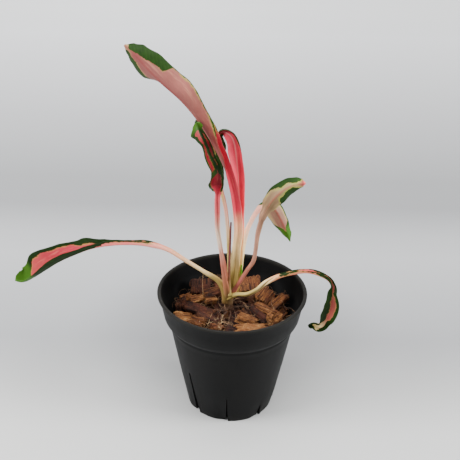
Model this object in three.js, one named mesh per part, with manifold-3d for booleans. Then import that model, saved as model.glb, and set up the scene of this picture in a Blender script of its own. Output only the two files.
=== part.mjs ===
// Potted Chinese evergreen with folded pink and green leaves, in a thin black nursery pot of husk chips.
// Millimetres, +Z up. The origin is the middle of the pot's foot, and the front of the plant faces -Y.
import * as THREE from 'three';
import { mergeVertices } from 'three/addons/utils/BufferGeometryUtils.js';
import Module from 'manifold-3d';

const wasm = await Module();
wasm.setup();

// Driving dimensions
const clearance = 0.35;
const crumb = 0.03;
const pot = {
  sides: 48,
  height: 109,
  footRadius: 37.5,
  shoulderRadius: 52.3,
  shoulderHeight: 80.4,
  collarFootRadius: 57.1,
  collarFootHeight: 87.2,
  collarTopRadius: 60.5,
  lipRadius: 62.5,
  lipHeight: 2.2,
  wall: 1.2,
  floor: 1.6,
};
const slits = { count: 8, firstAngle: -4, height: 46, footWidth: 3, topWidth: 0.7, reach: 5 };
const bed = { level: 82, riseRight: 3, riseBack: 8, bodyDrop: 5, reach: 54 };
const chips = {
  count: 66,
  seed: 23,
  length: [12, 22],
  width: [8, 13],
  thickness: [5, 8],
  lean: 0.5,
  sink: 5,
};
const cane = { x: -2, y: 11.5, foot: 58, top: 102, radius: 4, rings: 9, bulge: 0.45, taper: 0.9, sides: 14 };
const roots = { footRadius: 1, tipRadius: 0.5, sides: 5, stepsPerPoint: 3 };
const hole = { foot: 76, mouth: 86, top: 100, footRadius: 7, mouthRadius: 9.5, topRadius: 10.5, forward: 1 };
const goldenAngle = THREE.MathUtils.degToRad(137.508);

// Colours read from the plant
const colours = {
  pot: 0x2b2b2b,
  husk: 0x9a5b33,
  cane: 0x8a8450,
  pink: 0xd98c86,
  crimson: 0xb8283c,
  cream: 0xe6c9ac,
  green: 0x3f5a2a,
  lime: 0x7da23a,
  dry: 0x4a3426,
};

// Small helpers
function randomFrom(seed) {
  let state = seed;
  return (low, high) => {
    state = (state * 1664525 + 1013904223) % 4294967296;
    return low + (high - low) * (state / 4294967296);
  };
}

function smoothStep(t) {
  const c = Math.min(1, Math.max(0, t));
  return c * c * (3 - 2 * c);
}

// A value that eases between [place, value] keys
function keyed(keys, u) {
  for (let i = 1; i < keys.length; i += 1) {
    const [from, low] = keys[i - 1];
    const [to, high] = keys[i];
    if (u <= to) return low + (high - low) * smoothStep((u - from) / (to - from));
  }
  return keys[keys.length - 1][1];
}

function solidOf(geometry) {
  const bare = geometry.index ? geometry.clone() : geometry;
  bare.deleteAttribute('normal');
  bare.deleteAttribute('uv');
  const merged = mergeVertices(bare, 1e-3);
  return new wasm.Manifold(new wasm.Mesh({
    numProp: 3,
    vertProperties: new Float32Array(merged.attributes.position.array),
    triVerts: new Uint32Array(merged.index.array),
  }));
}

function geometryOf(solid) {
  const mesh = solid.getMesh();
  const geometry = new THREE.BufferGeometry();
  geometry.setAttribute('position', new THREE.BufferAttribute(mesh.vertProperties, 3));
  geometry.setIndex(new THREE.BufferAttribute(mesh.triVerts, 1));
  return geometry;
}

// Cutting can leave crumbs, and joining can seal small hollows: the main body is what stays
function mainBody(solid) {
  const pieces = solid.simplify(crumb).decompose();
  return pieces.reduce((best, piece) => (piece.volume() > best.volume() ? piece : best));
}

// A closed solid round a row of rings, each a list of points in the same order
function skinOf(rings) {
  const sides = rings[0].length;
  const last = rings.length - 1;
  const positions = rings.flat().flatMap((p) => [p.x, p.y, p.z]);
  const index = [];
  for (let i = 0; i < last; i += 1) {
    for (let j = 0; j < sides; j += 1) {
      const a = i * sides + j;
      const b = i * sides + ((j + 1) % sides);
      index.push(a, b, b + sides, a, b + sides, a + sides);
    }
  }
  for (let j = 1; j < sides - 1; j += 1) {
    index.push(0, j + 1, j);
    index.push(last * sides, last * sides + j, last * sides + j + 1);
  }
  const geometry = new THREE.BufferGeometry();
  geometry.setAttribute('position', new THREE.Float32BufferAttribute(positions, 3));
  geometry.setIndex(index);
  return geometry;
}

// A smooth curve through points, measured finely so that equal steps along it are equal lengths
function curveThrough(route) {
  const curve = new THREE.CatmullRomCurve3(route.map((p) => new THREE.Vector3(...p)));
  curve.arcLengthDivisions = 800;
  return curve;
}

// A round tube along a route, with its radius keyed along it
function tube(route, radius, sides, steps) {
  const curve = curveThrough(route);
  const frames = curve.computeFrenetFrames(steps, false);
  const rings = [];
  for (let i = 0; i <= steps; i += 1) {
    const centre = curve.getPointAt(i / steps);
    const r = keyed(radius, i / steps);
    const ring = [];
    for (let j = 0; j < sides; j += 1) {
      const angle = (j / sides) * 2 * Math.PI;
      ring.push(centre.clone()
        .addScaledVector(frames.normals[i], r * Math.cos(angle))
        .addScaledVector(frames.binormals[i], r * Math.sin(angle)));
    }
    rings.push(ring);
  }
  return skinOf(rings);
}

// Pot: one lathe profile from the middle of the foot, up the outside, over the lip and down inside
function wallRadius(z) {
  const rise = (pot.shoulderRadius - pot.footRadius) / pot.shoulderHeight;
  return pot.footRadius + rise * z;
}

function potInside(gap) {
  const inset = pot.wall + gap;
  return [
    [wallRadius(pot.floor) - inset, pot.floor + gap],
    [pot.shoulderRadius - inset, pot.shoulderHeight + 0.3],
    [pot.shoulderRadius + 1.5 - inset, pot.shoulderHeight + 3.4],
    [pot.collarFootRadius - inset, pot.collarFootHeight + 0.4],
    [pot.collarTopRadius - inset, pot.height - pot.lipHeight],
  ];
}

function potSolid() {
  const lipUnder = pot.height - pot.lipHeight;
  const outline = [
    [0, 0],
    [pot.footRadius - 1.2, 0],
    [pot.footRadius, 1.1],
    [pot.shoulderRadius, pot.shoulderHeight],
    [pot.shoulderRadius + 1.5, pot.shoulderHeight + 3],
    [pot.collarFootRadius, pot.collarFootHeight],
    [pot.collarTopRadius, lipUnder],
    [pot.lipRadius - 0.4, lipUnder],
    [pot.lipRadius, lipUnder + 0.5],
    [pot.lipRadius, pot.height - 0.6],
    [pot.lipRadius - 0.6, pot.height],
    [pot.collarTopRadius - 0.5, pot.height],
    ...potInside(0).reverse(),
    [0, pot.floor],
  ];
  const profile = outline.map(([r, z]) => new THREE.Vector2(r, z));
  const shell = new THREE.LatheGeometry(profile, pot.sides);
  shell.rotateX(Math.PI / 2);
  let solid = solidOf(shell);
  for (let k = 0; k < slits.count; k += 1) {
    solid = solid.subtract(solidOf(slitWedge(slits.firstAngle + (360 / slits.count) * k)));
  }
  return solid;
}

// A drainage slit is a wedge, wide at the foot and narrow at the top, through the wall and the floor's edge
function slitWedge(degrees) {
  const shape = new THREE.Shape([
    new THREE.Vector2(-slits.footWidth / 2, -1),
    new THREE.Vector2(slits.footWidth / 2, -1),
    new THREE.Vector2(slits.topWidth / 2, slits.height),
    new THREE.Vector2(-slits.topWidth / 2, slits.height),
  ]);
  const depth = wallRadius(slits.height) + 2 - (pot.footRadius - slits.reach);
  const wedge = new THREE.ExtrudeGeometry(shape, { depth, bevelEnabled: false });
  wedge.rotateX(Math.PI / 2);
  wedge.translate(0, -(pot.footRadius - slits.reach), 0);
  wedge.rotateZ(THREE.MathUtils.degToRad(degrees));
  return wedge;
}

// Cane: a short ringed stem that stands in the chips, with its surface roots
function caneRoute() {
  return [
    [cane.x - 1, cane.y, cane.foot],
    [cane.x - 0.5, cane.y + 0.5, (cane.foot + cane.top) / 2],
    [cane.x, cane.y, cane.top],
  ];
}

const surfaceRoots = [
  [[-3, 9, 84], [-6, 3, 85.5], [-10, -4, 84], [-9, -11, 82.5]],
  [[-2, 9, 84], [0, 2, 86], [-3, -6, 85], [1, -13, 82.5]],
  [[-1, 10, 83], [5, 6, 85.5], [9, 0, 85], [8, -7, 83]],
  [[-3, 11, 83], [-10, 10, 86], [-15, 5, 85], [-17, -2, 83]],
  [[0, 12, 84], [7, 14, 87], [13, 12, 87], [18, 15, 85]],
];

function caneSolid(grow) {
  const bulge = [];
  for (let k = 0; k <= cane.rings; k += 1) {
    const place = k / cane.rings;
    const taper = cane.taper * smoothStep((place - 0.85) / 0.15);
    bulge.push([place, cane.radius + grow + cane.bulge * (k % 2) - taper]);
  }
  let solid = solidOf(tube(caneRoute(), bulge, cane.sides, cane.rings * 2));
  for (const route of surfaceRoots) {
    const thickness = [[0, roots.footRadius + grow], [1, roots.tipRadius + grow]];
    solid = solid.add(solidOf(tube(route, thickness, roots.sides, route.length * roots.stepsPerPoint)));
  }
  return mainBody(solid);
}

// Leaves. Each has a route of midrib points from its foot to its tip, and keys along that route:
// width is half the leaf, fold is how far each half rises from flat, curl is how much more it
// rises by the margin, and turn rolls the leaf about its route, with 0 facing the front.
// bladeFrom is where the petiole opens into the blade. lop makes one half wider than the other.
const leaves = {
  leaf_tall: {
    colour: colours.pink,
    stations: 40,
    bladeFrom: 0.3,
    route: [
      [-0.5, 14, 94], [1, 12.5, 112], [2.5, 9.5, 140], [4, 7, 162], [2.5, 5, 180.5], [-0.5, 2, 199],
      [-4.5, -1, 215], [-10.5, -4, 230.5], [-18, -7, 246.5], [-25, -9, 259.5], [-33, -11, 271.5],
      [-41, -12, 281], [-50, -12, 289], [-58.5, -11, 297], [-67.5, -9, 306], [-74.5, -7, 313],
      [-81.5, -4, 318.5],
    ],
    width: [
      [0, 4.8], [0.1, 4], [0.2, 3.6], [0.3, 3.6], [0.45, 4.4], [0.58, 6], [0.7, 10], [0.82, 14.5],
      [0.9, 14.5], [0.96, 10.5], [0.985, 6.5], [1, 0.8],
    ],
    turn: [
      [0, 0], [0.3, 12], [0.48, 18], [0.58, 38], [0.68, 84], [0.76, 100], [0.84, 130], [0.9, 152],
      [1, 160],
    ],
    fold: [[0, 20], [0.25, 35], [0.45, 38], [0.6, 66], [0.8, 50], [0.92, 25], [1, 35]],
    curl: [[0, 0], [0.6, 10], [0.8, 25], [1, 20]],
    wave: 0.6,
  },
  leaf_arch: {
    colour: colours.crimson,
    stations: 32,
    bladeFrom: 0.26,
    route: [
      [3, 14.5, 94], [5, 15, 117], [6.5, 16, 138.5], [6.5, 17, 157], [6, 19, 174.5], [5.5, 21, 191.5],
      [4.5, 24, 209.5], [3.5, 26, 223], [1.5, 28, 231], [-1.5, 30.5, 236], [-7, 33, 238.5],
      [-12, 35, 237], [-13.5, 36, 231.5], [-10.5, 36, 225], [-7.5, 35, 216],
    ],
    width: [
      [0, 4], [0.12, 2.8], [0.25, 2.5], [0.4, 3.4], [0.6, 5.4], [0.75, 5.6], [0.88, 4.6], [0.95, 3],
      [1, 0.4],
    ],
    turn: [[0, 0], [0.4, 5], [0.6, 0], [0.75, -30], [0.9, -60], [1, -60]],
    fold: [[0, 15], [0.35, 45], [0.6, 35], [0.8, 35], [1, 50]],
    curl: [[0, 0], [0.5, 30], [1, 20]],
    wave: 0.4,
  },
  leaf_curl: {
    colour: colours.crimson,
    stations: 44,
    bladeFrom: 0.62,
    route: [
      [-4, 7, 91], [-4.5, 5, 107.5], [-6.5, 2, 127], [-9.5, 0, 147], [-12.5, -2, 166.5],
      [-13, -4, 182], [-13, -5, 197], [-11.5, -6, 209], [-12, -7, 217], [-14.5, -9, 225.5],
      [-18, -11, 233.5], [-21, -12, 242], [-24, -12.5, 250], [-27.5, -12, 257.5], [-29, -11, 262.5],
    ],
    width: [
      [0, 3.2], [0.12, 3.3], [0.22, 2.2], [0.32, 1.4], [0.62, 1.5], [0.645, 1.8], [0.665, 3],
      [0.69, 5.4], [0.715, 8], [0.745, 6.4], [0.8, 6.4], [0.85, 6], [0.9, 4.6], [0.94, 5.6],
      [0.965, 7], [0.985, 4.2], [1, 1.2],
    ],
    turn: [[0, 120], [0.25, 60], [0.5, 10], [0.65, -5], [0.72, 0], [0.8, 15], [1, 10]],
    fold: [[0, 30], [0.45, 35], [0.64, 35], [0.68, 15], [0.74, 18], [0.82, 24], [0.9, 20], [1, 26]],
    curl: [[0, 0], [0.6, 30], [0.68, 36], [0.74, 42], [0.82, 35], [1, 30]],
    lop: [
      [0, 0], [0.63, 0], [0.665, 0.33], [0.69, 0.48], [0.715, 0.56], [0.745, 0.48], [0.8, 0.36],
      [0.85, 0.25], [0.9, 0.1], [0.94, 0.43], [0.965, 0.64], [0.985, 0.2], [1, 0.1],
    ],
    wave: 0.8,
  },
  leaf_slim: {
    colour: colours.green,
    stations: 24,
    bladeFrom: 0.5,
    route: [
      [-2.5, 16.5, 94], [-2.5, 16.5, 118], [-3.5, 16, 147.5], [-5, 16.5, 164], [-6.5, 16, 177],
      [-9, 16, 188.5], [-11, 15.5, 199.5], [-13, 14, 211.5], [-15.5, 13, 222], [-19, 11, 233.5],
      [-22.5, 10, 243], [-27, 9.5, 250.5], [-29.5, 9.5, 256.5],
    ],
    width: [
      [0, 2.4], [0.15, 1.3], [0.61, 1.3], [0.645, 2.8], [0.68, 3.8], [0.75, 4.4], [0.85, 4.4],
      [0.93, 6], [0.98, 4.6], [1, 1.6],
    ],
    turn: [[0, 0], [0.5, 60], [0.7, 80], [0.85, 110], [0.93, 150], [1, 165]],
    fold: [[0, 30], [0.5, 60], [0.8, 60], [1, 20]],
    curl: [[0, 0], [1, 30]],
    wave: 0.5,
  },
  leaf_droop: {
    colour: colours.cream,
    stations: 26,
    bladeFrom: 0.56,
    route: [
      [3.5, 17.5, 94], [6, 20, 117], [8.5, 24, 138.5], [12.5, 29, 154], [19, 34, 165],
      [25.5, 38.5, 169.5], [31.5, 42.5, 167], [36.5, 45, 160.5], [40.5, 46, 152.5], [45, 46.5, 142.5],
      [49.5, 46, 131],
    ],
    width: [
      [0, 2.6], [0.15, 1.4], [0.56, 1.8], [0.62, 2.6], [0.69, 7.2], [0.78, 10], [0.87, 9.2],
      [0.945, 5.6], [1, 0.4],
    ],
    turn: [[0, 0], [0.4, -60], [0.6, -130], [0.8, -170], [1, -170]],
    fold: [[0, 30], [0.6, 40], [0.75, 25], [1, 30]],
    curl: [[0, 0], [1, 30]],
    lop: [[0, 0], [0.6, 0], [0.69, 0.25], [0.78, 0.3], [0.9, 0.3], [1, 0]],
    wave: 0.4,
  },
  leaf_right: {
    colour: colours.cream,
    stations: 28,
    bladeFrom: 0.64,
    route: [
      [1.5, 7, 93], [6.5, 5, 114], [12.5, 3, 127], [17, 1, 136.5], [18.5, 0, 147.5], [19.5, -2, 162],
      [21.5, -4.5, 174.5], [23.5, -6.5, 183.5], [26, -7.5, 189.5], [29.5, -8.5, 196.5],
      [35, -9, 203.5], [41.5, -9, 209], [48, -9, 212], [55, -8, 212.5],
    ],
    width: [
      [0, 2.8], [0.12, 1.3], [0.45, 1.15], [0.62, 1.6], [0.69, 3.4], [0.75, 7.2], [0.82, 9], [0.9, 8],
      [0.955, 6.3], [0.985, 4.3], [1, 0.8],
    ],
    turn: [[0, 120], [0.2, 150], [0.5, 165], [0.65, 175], [1, 190]],
    fold: [[0, 30], [0.5, 50], [0.7, 15], [1, 25]],
    curl: [[0, 0], [1, 30]],
    wave: 0.5,
  },
  leaf_left: {
    colour: colours.green,
    stations: 34,
    bladeFrom: 0.34,
    route: [
      [-7, 10, 90], [-8, 10, 102.5], [-12, 10, 112.5], [-23, 10, 120.5], [-40, 11, 131.5],
      [-54.5, 12, 140.5], [-69, 13, 144], [-87, 14, 144], [-102.5, 16, 141.5], [-118, 18, 137],
      [-133, 20, 129.5], [-148, 21, 121], [-160, 21, 112.5], [-170, 20, 106.5], [-178, 19, 104],
      [-185.5, 18, 104.5],
    ],
    width: [[0, 3.4], [0.1, 2], [0.2, 1.5], [0.35, 1.7], [0.45, 3.2], [0.6, 4], [0.68, 8], [0.78, 12],
      [0.88, 16], [0.94, 12], [0.98, 5], [1, 0.4]],
    turn: [[0, 150], [0.15, 100], [0.4, 75], [0.65, 65], [0.8, 54], [1, 40]],
    fold: [[0, 30], [0.4, 55], [0.6, 60], [0.8, 54], [1, 40]],
    curl: [[0, 0], [1, 20]],
    lop: [[0, 0], [0.55, 0], [0.66, -0.3], [0.8, -0.1], [1, -0.1]],
    wave: 0.7,
  },
  leaf_low: {
    colour: colours.green,
    stations: 34,
    bladeFrom: 0.36,
    route: [
      [-0.5, 5.5, 90], [3.5, 4, 99.5], [12.5, 1, 104], [20, -2, 110], [27.5, -5, 119.5], [38.5, -9, 129.5],
      [51, -13, 135], [64, -17, 136], [74, -20, 134.5], [80.5, -22, 128], [82.5, -24, 118], [81.5, -25, 107],
      [78, -25, 98], [71, -24, 91.5], [63.5, -22, 90],
    ],
    width: [[0, 3.2], [0.1, 1.7], [0.38, 1.4], [0.45, 2.4], [0.65, 3], [0.74, 6.5], [0.84, 8], [0.94, 6],
      [1, 0.4]],
    turn: [[0, 90], [0.2, 60], [0.4, -60], [0.6, -50], [0.72, 5], [0.85, 12], [1, -10]],
    fold: [[0, 30], [0.4, 60], [0.65, 55], [0.8, 30], [1, 40]],
    curl: [[0, 0], [1, 30]],
    wave: 0.5,
  },
  dry_sheath: {
    colour: colours.dry,
    stations: 8,
    bladeFrom: 0.2,
    route: [[-2, 5, 100], [-2.8, 6.5, 118], [-2.7, 7.8, 135], [-2.4, 8.6, 150], [-2, 9.6, 168]],
    width: [[0, 1.6], [0.35, 0.7], [0.6, 0.5], [1, 0.3]],
    turn: [[0, 180], [1, 170]],
    fold: [[0, 30], [1, 45]],
    curl: [[0, 20], [1, 20]],
    wave: 0,
  },
  young_sheath: {
    colour: colours.lime,
    stations: 8,
    bladeFrom: 0.2,
    route: [[3.5, 10, 94], [6, 10, 110], [7, 10, 119.5], [7.5, 10, 127.5]],
    width: [[0, 2.2], [0.5, 1.9], [1, 0.4]],
    turn: [[0, 150], [1, 160]],
    fold: [[0, 30], [1, 45]],
    curl: [[0, 20], [1, 20]],
    wave: 0,
  },
};

const leafShape = {
  towards: new THREE.Vector3(0, -0.88, 0.475),
  across: 6,
  blade: 0.8,
  midrib: 1,
  midribWidth: 1.8,
  sheath: 0.7,
  stalkRoundness: 1,
  stalkLimit: 2.4,
  waves: 3,
};

// How thick the leaf is at a place along it (u) and across it (v from -1 to 1)
function leafThickness(leaf, u, v, width) {
  const along = Math.min(1, Math.max(0, (u - leaf.bladeFrom) / (1 - leaf.bladeFrom)));
  const rib = Math.max(0, 1 - Math.abs(v) * width / leafShape.midribWidth);
  const blade = leafShape.blade + (1 - along) * leafShape.midrib * rib;
  const round = Math.min(width, leafShape.stalkLimit) * leafShape.stalkRoundness;
  const stalk = leafShape.sheath + round * Math.sqrt(Math.max(0, 1 - v * v));
  const open = smoothStep(along / 0.25);
  return stalk * (1 - open) + blade * open;
}

// Upper and lower points of the leaf at station u
function leafStation(leaf, curve, u, grow) {
  const degrees = THREE.MathUtils.degToRad;
  const centre = curve.getPointAt(u);
  const along = curve.getTangentAt(u);
  const level = new THREE.Vector3().crossVectors(leafShape.towards, along).normalize();
  const facing = new THREE.Vector3().crossVectors(along, level);
  const turn = degrees(keyed(leaf.turn, u));
  const side = level.clone().multiplyScalar(Math.cos(turn)).addScaledVector(facing, Math.sin(turn));
  const face = facing.clone().multiplyScalar(Math.cos(turn)).addScaledVector(level, -Math.sin(turn));
  const fold = degrees(keyed(leaf.fold, u));
  const curl = degrees(keyed(leaf.curl, u)) + 1e-3;
  const blade = Math.max(0, (u - leaf.bladeFrom) / (1 - leaf.bladeFrom));
  const waveHeight = leaf.wave * Math.min(1, blade / 0.3, (1 - blade) / 0.15);
  const lop = leaf.lop ? keyed(leaf.lop, u) : 0;
  const upper = [];
  const lower = [];
  for (let j = 0; j <= leafShape.across; j += 1) {
    const v = (2 * j) / leafShape.across - 1;
    const hand = Math.sign(v);
    const a = Math.abs(v);
    const width = keyed(leaf.width, u) * (1 + hand * lop) + grow;
    const out = (Math.sin(fold + curl * a) - Math.sin(fold)) / curl;
    const up = (Math.cos(fold) - Math.cos(fold + curl * a)) / curl;
    const phase = 2 * Math.PI * leafShape.waves * blade + (hand > 0 ? 1.3 : 0);
    const ripple = waveHeight * a * a * Math.sin(phase);
    const top = centre.clone()
      .addScaledVector(side, hand * out * width)
      .addScaledVector(face, up * width + ripple);
    const slope = hand * (fold + curl * a);
    const normal = face.clone().multiplyScalar(Math.cos(slope)).addScaledVector(side, -Math.sin(slope));
    const thickness = leafThickness(leaf, u, v, width);
    lower.push(top.clone().addScaledVector(normal, -thickness - grow));
    upper.push(top.addScaledVector(normal, grow));
  }
  return upper.concat(lower.reverse());
}

// Both faces of a leaf are split along the same diagonals, so they never cross where it is waved
function leafSolid(leaf, grow) {
  const curve = curveThrough(leaf.route);
  const rings = [];
  for (let i = 0; i <= leaf.stations; i += 1) rings.push(leafStation(leaf, curve, i / leaf.stations, grow));
  const half = leafShape.across + 1;
  const round = 2 * half;
  const positions = rings.flat().flatMap((p) => [p.x, p.y, p.z]);
  const at = (i, j) => i * round + j;
  const under = (i, j) => i * round + round - 1 - j;
  const index = [];
  for (let i = 0; i < leaf.stations; i += 1) {
    for (let j = 0; j < leafShape.across; j += 1) {
      index.push(at(i, j), at(i + 1, j), at(i + 1, j + 1), at(i, j), at(i + 1, j + 1), at(i, j + 1));
      index.push(under(i, j), under(i + 1, j + 1), under(i + 1, j));
      index.push(under(i, j), under(i, j + 1), under(i + 1, j + 1));
    }
    index.push(at(i, 0), under(i + 1, 0), at(i + 1, 0), at(i, 0), under(i, 0), under(i + 1, 0));
    const j = leafShape.across;
    index.push(at(i, j), at(i + 1, j), under(i + 1, j), at(i, j), under(i + 1, j), under(i, j));
  }
  for (let j = 0; j < leafShape.across; j += 1) {
    const i = leaf.stations;
    index.push(at(0, j), at(0, j + 1), under(0, j + 1), at(0, j), under(0, j + 1), under(0, j));
    index.push(at(i, j), under(i, j + 1), at(i, j + 1), at(i, j), under(i, j), under(i, j + 1));
  }
  const geometry = new THREE.BufferGeometry();
  geometry.setAttribute('position', new THREE.Float32BufferAttribute(positions, 3));
  geometry.setIndex(index);
  return solidOf(geometry);
}

// Husk chips: blocks with uneven corners, laid by a seeded rule over a filled bed
function chip(random, size, place, turn) {
  const block = new THREE.BoxGeometry(...size);
  block.deleteAttribute('normal');
  block.deleteAttribute('uv');
  const corners = mergeVertices(block);
  const position = corners.attributes.position;
  for (let i = 0; i < position.count; i += 1) {
    position.setXYZ(
      i,
      position.getX(i) * random(0.78, 1.1),
      position.getY(i) * random(0.78, 1.1),
      position.getZ(i) * random(0.7, 1.2),
    );
  }
  corners.applyMatrix4(new THREE.Matrix4().makeRotationFromEuler(new THREE.Euler(...turn, 'XYZ')));
  corners.translate(...place);
  return solidOf(corners);
}

function bedLevel(x, y) {
  return bed.level + (bed.riseRight * x + bed.riseBack * y) / pot.shoulderRadius;
}

// Chips that show by themselves: size, place and turn in degrees
const markedChips = [
  { size: [21, 19, 7], place: [27, 23, 92], turn: [-18, 8, 12] },
  { size: [30, 10, 7], place: [18, -32, 83], turn: [10, -6, 12] },
  { size: [18, 10, 7], place: [-37, -24, 82], turn: [8, 14, 20] },
  { size: [13, 9, 8], place: [-29, 15, 86], turn: [20, -8, -30] },
  { size: [12, 8, 6], place: [-16, 14, 87], turn: [-12, 10, 40] },
  { size: [22, 12, 7], place: [36, -8, 88], turn: [6, -16, 62] },
  { size: [19, 11, 8], place: [12, -24, 85], turn: [-10, 22, 30] },
  { size: [17, 12, 7], place: [-12, 34, 90], turn: [14, 4, -20] },
];

function bedSolid() {
  const profile = potInside(clearance).map(([r, z]) => new THREE.Vector2(r, z));
  const inside = [new THREE.Vector2(0, profile[0].y), ...profile, new THREE.Vector2(0, profile.at(-1).y)];
  const space = new THREE.LatheGeometry(inside, pot.sides);
  space.rotateX(Math.PI / 2);
  const bodyTop = bed.level - bed.bodyDrop;
  const body = new THREE.BoxGeometry(2 * pot.lipRadius, 2 * pot.lipRadius, bodyTop);
  body.translate(0, 0, bodyTop / 2);
  const random = randomFrom(chips.seed);
  const pieces = [solidOf(body)];
  for (const marked of markedChips) {
    pieces.push(chip(random, marked.size, marked.place, marked.turn.map(THREE.MathUtils.degToRad)));
  }
  for (let k = 0; k < chips.count; k += 1) {
    const angle = k * goldenAngle;
    const reach = bed.reach * Math.sqrt((k + 0.5) / chips.count);
    const x = reach * Math.cos(angle);
    const y = reach * Math.sin(angle);
    const size = [random(...chips.length), random(...chips.width), random(...chips.thickness)];
    const turn = [random(-chips.lean, chips.lean), random(-chips.lean, chips.lean), random(0, 2 * Math.PI)];
    pieces.push(chip(random, size, [x, y, bedLevel(x, y) - random(0, chips.sink)], turn));
  }
  return wasm.Manifold.union(pieces).intersect(solidOf(space));
}

// The hole that the cane and the leaf feet stand in
function plantHole() {
  const outline = [
    new THREE.Vector2(0, hole.foot),
    new THREE.Vector2(hole.footRadius, hole.foot),
    new THREE.Vector2(hole.mouthRadius, hole.mouth),
    new THREE.Vector2(hole.topRadius, hole.top),
    new THREE.Vector2(0, hole.top),
  ];
  const space = new THREE.LatheGeometry(outline, cane.sides);
  space.rotateX(Math.PI / 2);
  space.translate(cane.x, cane.y - hole.forward, 0);
  return solidOf(space);
}

// Assembly: what grows later wraps round what stands already
const plant = new THREE.Group();

function place(name, solid, colour, roughness) {
  const material = new THREE.MeshStandardMaterial({ color: colour, roughness, metalness: 0 });
  const mesh = new THREE.Mesh(geometryOf(mainBody(solid)), material);
  mesh.name = name;
  plant.add(mesh);
}

const husk = bedSolid().subtract(plantHole()).subtract(caneSolid(clearance));
place('pot', potSolid(), colours.pot, 0.45);
place('husk_bed', husk, colours.husk, 0.95);
place('cane', caneSolid(0), colours.cane, 0.6);

const order = ['leaf_tall', 'leaf_curl', 'leaf_left', 'leaf_low', 'leaf_right', 'leaf_arch', 'dry_sheath',
  'young_sheath', 'leaf_slim', 'leaf_droop'];
let standing = caneSolid(clearance);
for (const name of order) {
  const leaf = leaves[name];
  place(name, leafSolid(leaf, 0).subtract(standing), leaf.colour, 0.4);
  standing = standing.add(leafSolid(leaf, clearance));
}

export default plant;
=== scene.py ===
# Potted Chinese evergreen with folded pink, red and green leaves, in a thin black nursery pot of husk chips.
# Lengths in the dictionaries are millimetres and angles are degrees, unless a line says otherwise.
import math
import random

import bpy
from mathutils import Euler, Matrix, Vector, noise


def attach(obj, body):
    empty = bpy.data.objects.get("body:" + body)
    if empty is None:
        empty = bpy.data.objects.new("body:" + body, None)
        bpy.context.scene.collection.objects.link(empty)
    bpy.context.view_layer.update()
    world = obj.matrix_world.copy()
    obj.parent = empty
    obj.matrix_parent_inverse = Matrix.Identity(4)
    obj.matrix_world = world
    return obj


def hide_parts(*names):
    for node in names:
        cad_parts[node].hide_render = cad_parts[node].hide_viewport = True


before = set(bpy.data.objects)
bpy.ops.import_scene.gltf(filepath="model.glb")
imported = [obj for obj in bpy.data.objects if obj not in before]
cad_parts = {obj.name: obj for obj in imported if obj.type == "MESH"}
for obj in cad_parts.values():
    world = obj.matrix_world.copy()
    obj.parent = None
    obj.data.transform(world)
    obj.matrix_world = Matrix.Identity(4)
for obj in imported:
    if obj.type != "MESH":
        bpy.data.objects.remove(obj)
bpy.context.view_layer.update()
mm = 0.001


# General helpers

def deselectAll():
    if bpy.context.object and bpy.context.object.mode != "OBJECT":
        bpy.ops.object.mode_set(mode="OBJECT")
    bpy.ops.object.select_all(action="DESELECT")


def take(piece):
    deselectAll()
    piece.select_set(True)
    bpy.context.view_layer.objects.active = piece


def add(operator, **settings):  # runs an operator that adds an object, and gives that object
    deselectAll()
    operator(**settings)
    return bpy.context.object


def editAll(piece, kind="VERT"):
    take(piece)
    bpy.ops.object.mode_set(mode="EDIT")
    bpy.ops.mesh.select_mode(type=kind)
    bpy.ops.mesh.select_all(action="SELECT")


def leaveEdit():
    bpy.ops.object.mode_set(mode="OBJECT")


def applyModifier(piece, kind, **settings):
    take(piece)
    modifier = piece.modifiers.new(kind.lower(), kind)
    for name, value in settings.items():
        setattr(modifier, name, value)
    bpy.ops.object.modifier_apply(modifier=modifier.name)


def tidyMesh(piece, smoothAngle):
    editAll(piece)
    bpy.ops.mesh.remove_doubles(threshold=1e-6)
    bpy.ops.mesh.normals_make_consistent(inside=False)
    leaveEdit()
    bpy.ops.object.shade_smooth_by_angle(angle=math.radians(smoothAngle))


def joinPieces(pieces, name):
    take(pieces[0])
    for piece in pieces:
        piece.select_set(True)
    bpy.ops.object.join()
    pieces[0].name = name
    pieces[0].data.name = name
    return pieces[0]


def placeMesh(piece):
    take(piece)
    bpy.ops.object.transform_apply(location=True, rotation=True, scale=True)


def finishPiece(piece, name, material, slot, *nodes):
    piece.name = name
    piece.data.materials.clear()
    piece.data.materials.append(material)
    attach(piece, "root")
    if nodes:
        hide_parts(*nodes)


def drawIn(vertex, share):  # towards the pot's axis
    vertex.co.x *= share
    vertex.co.y *= share


def smoothStep(t):
    t = min(1.0, max(0.0, t))
    return t * t * (3 - 2 * t)


def keyed(keys, u):  # a value that eases between (place, value) keys
    for (start, low), (end, high) in zip(keys, keys[1:]):
        if u <= end:
            return low + (high - low) * smoothStep((u - start) / (end - start))
    return keys[-1][1]


def setAttribute(piece, name, values):
    attribute = piece.data.attributes.new(name, "FLOAT", "POINT")
    attribute.data.foreach_set("value", values)


# Shader helpers: a wire is a socket that takes part in Python sums

class Wire:
    def __init__(self, finish, socket):
        self.finish = finish
        self.socket = socket

    def __add__(self, other):
        return self.finish.maths("ADD", self, other)

    def __sub__(self, other):
        return self.finish.maths("SUBTRACT", self, other)

    def __rsub__(self, other):
        return self.finish.maths("SUBTRACT", other, self)

    def __mul__(self, other):
        return self.finish.maths("MULTIPLY", self, other)

    def __truediv__(self, other):
        return self.finish.maths("DIVIDE", self, other)

    __radd__ = __add__
    __rmul__ = __mul__


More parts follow.
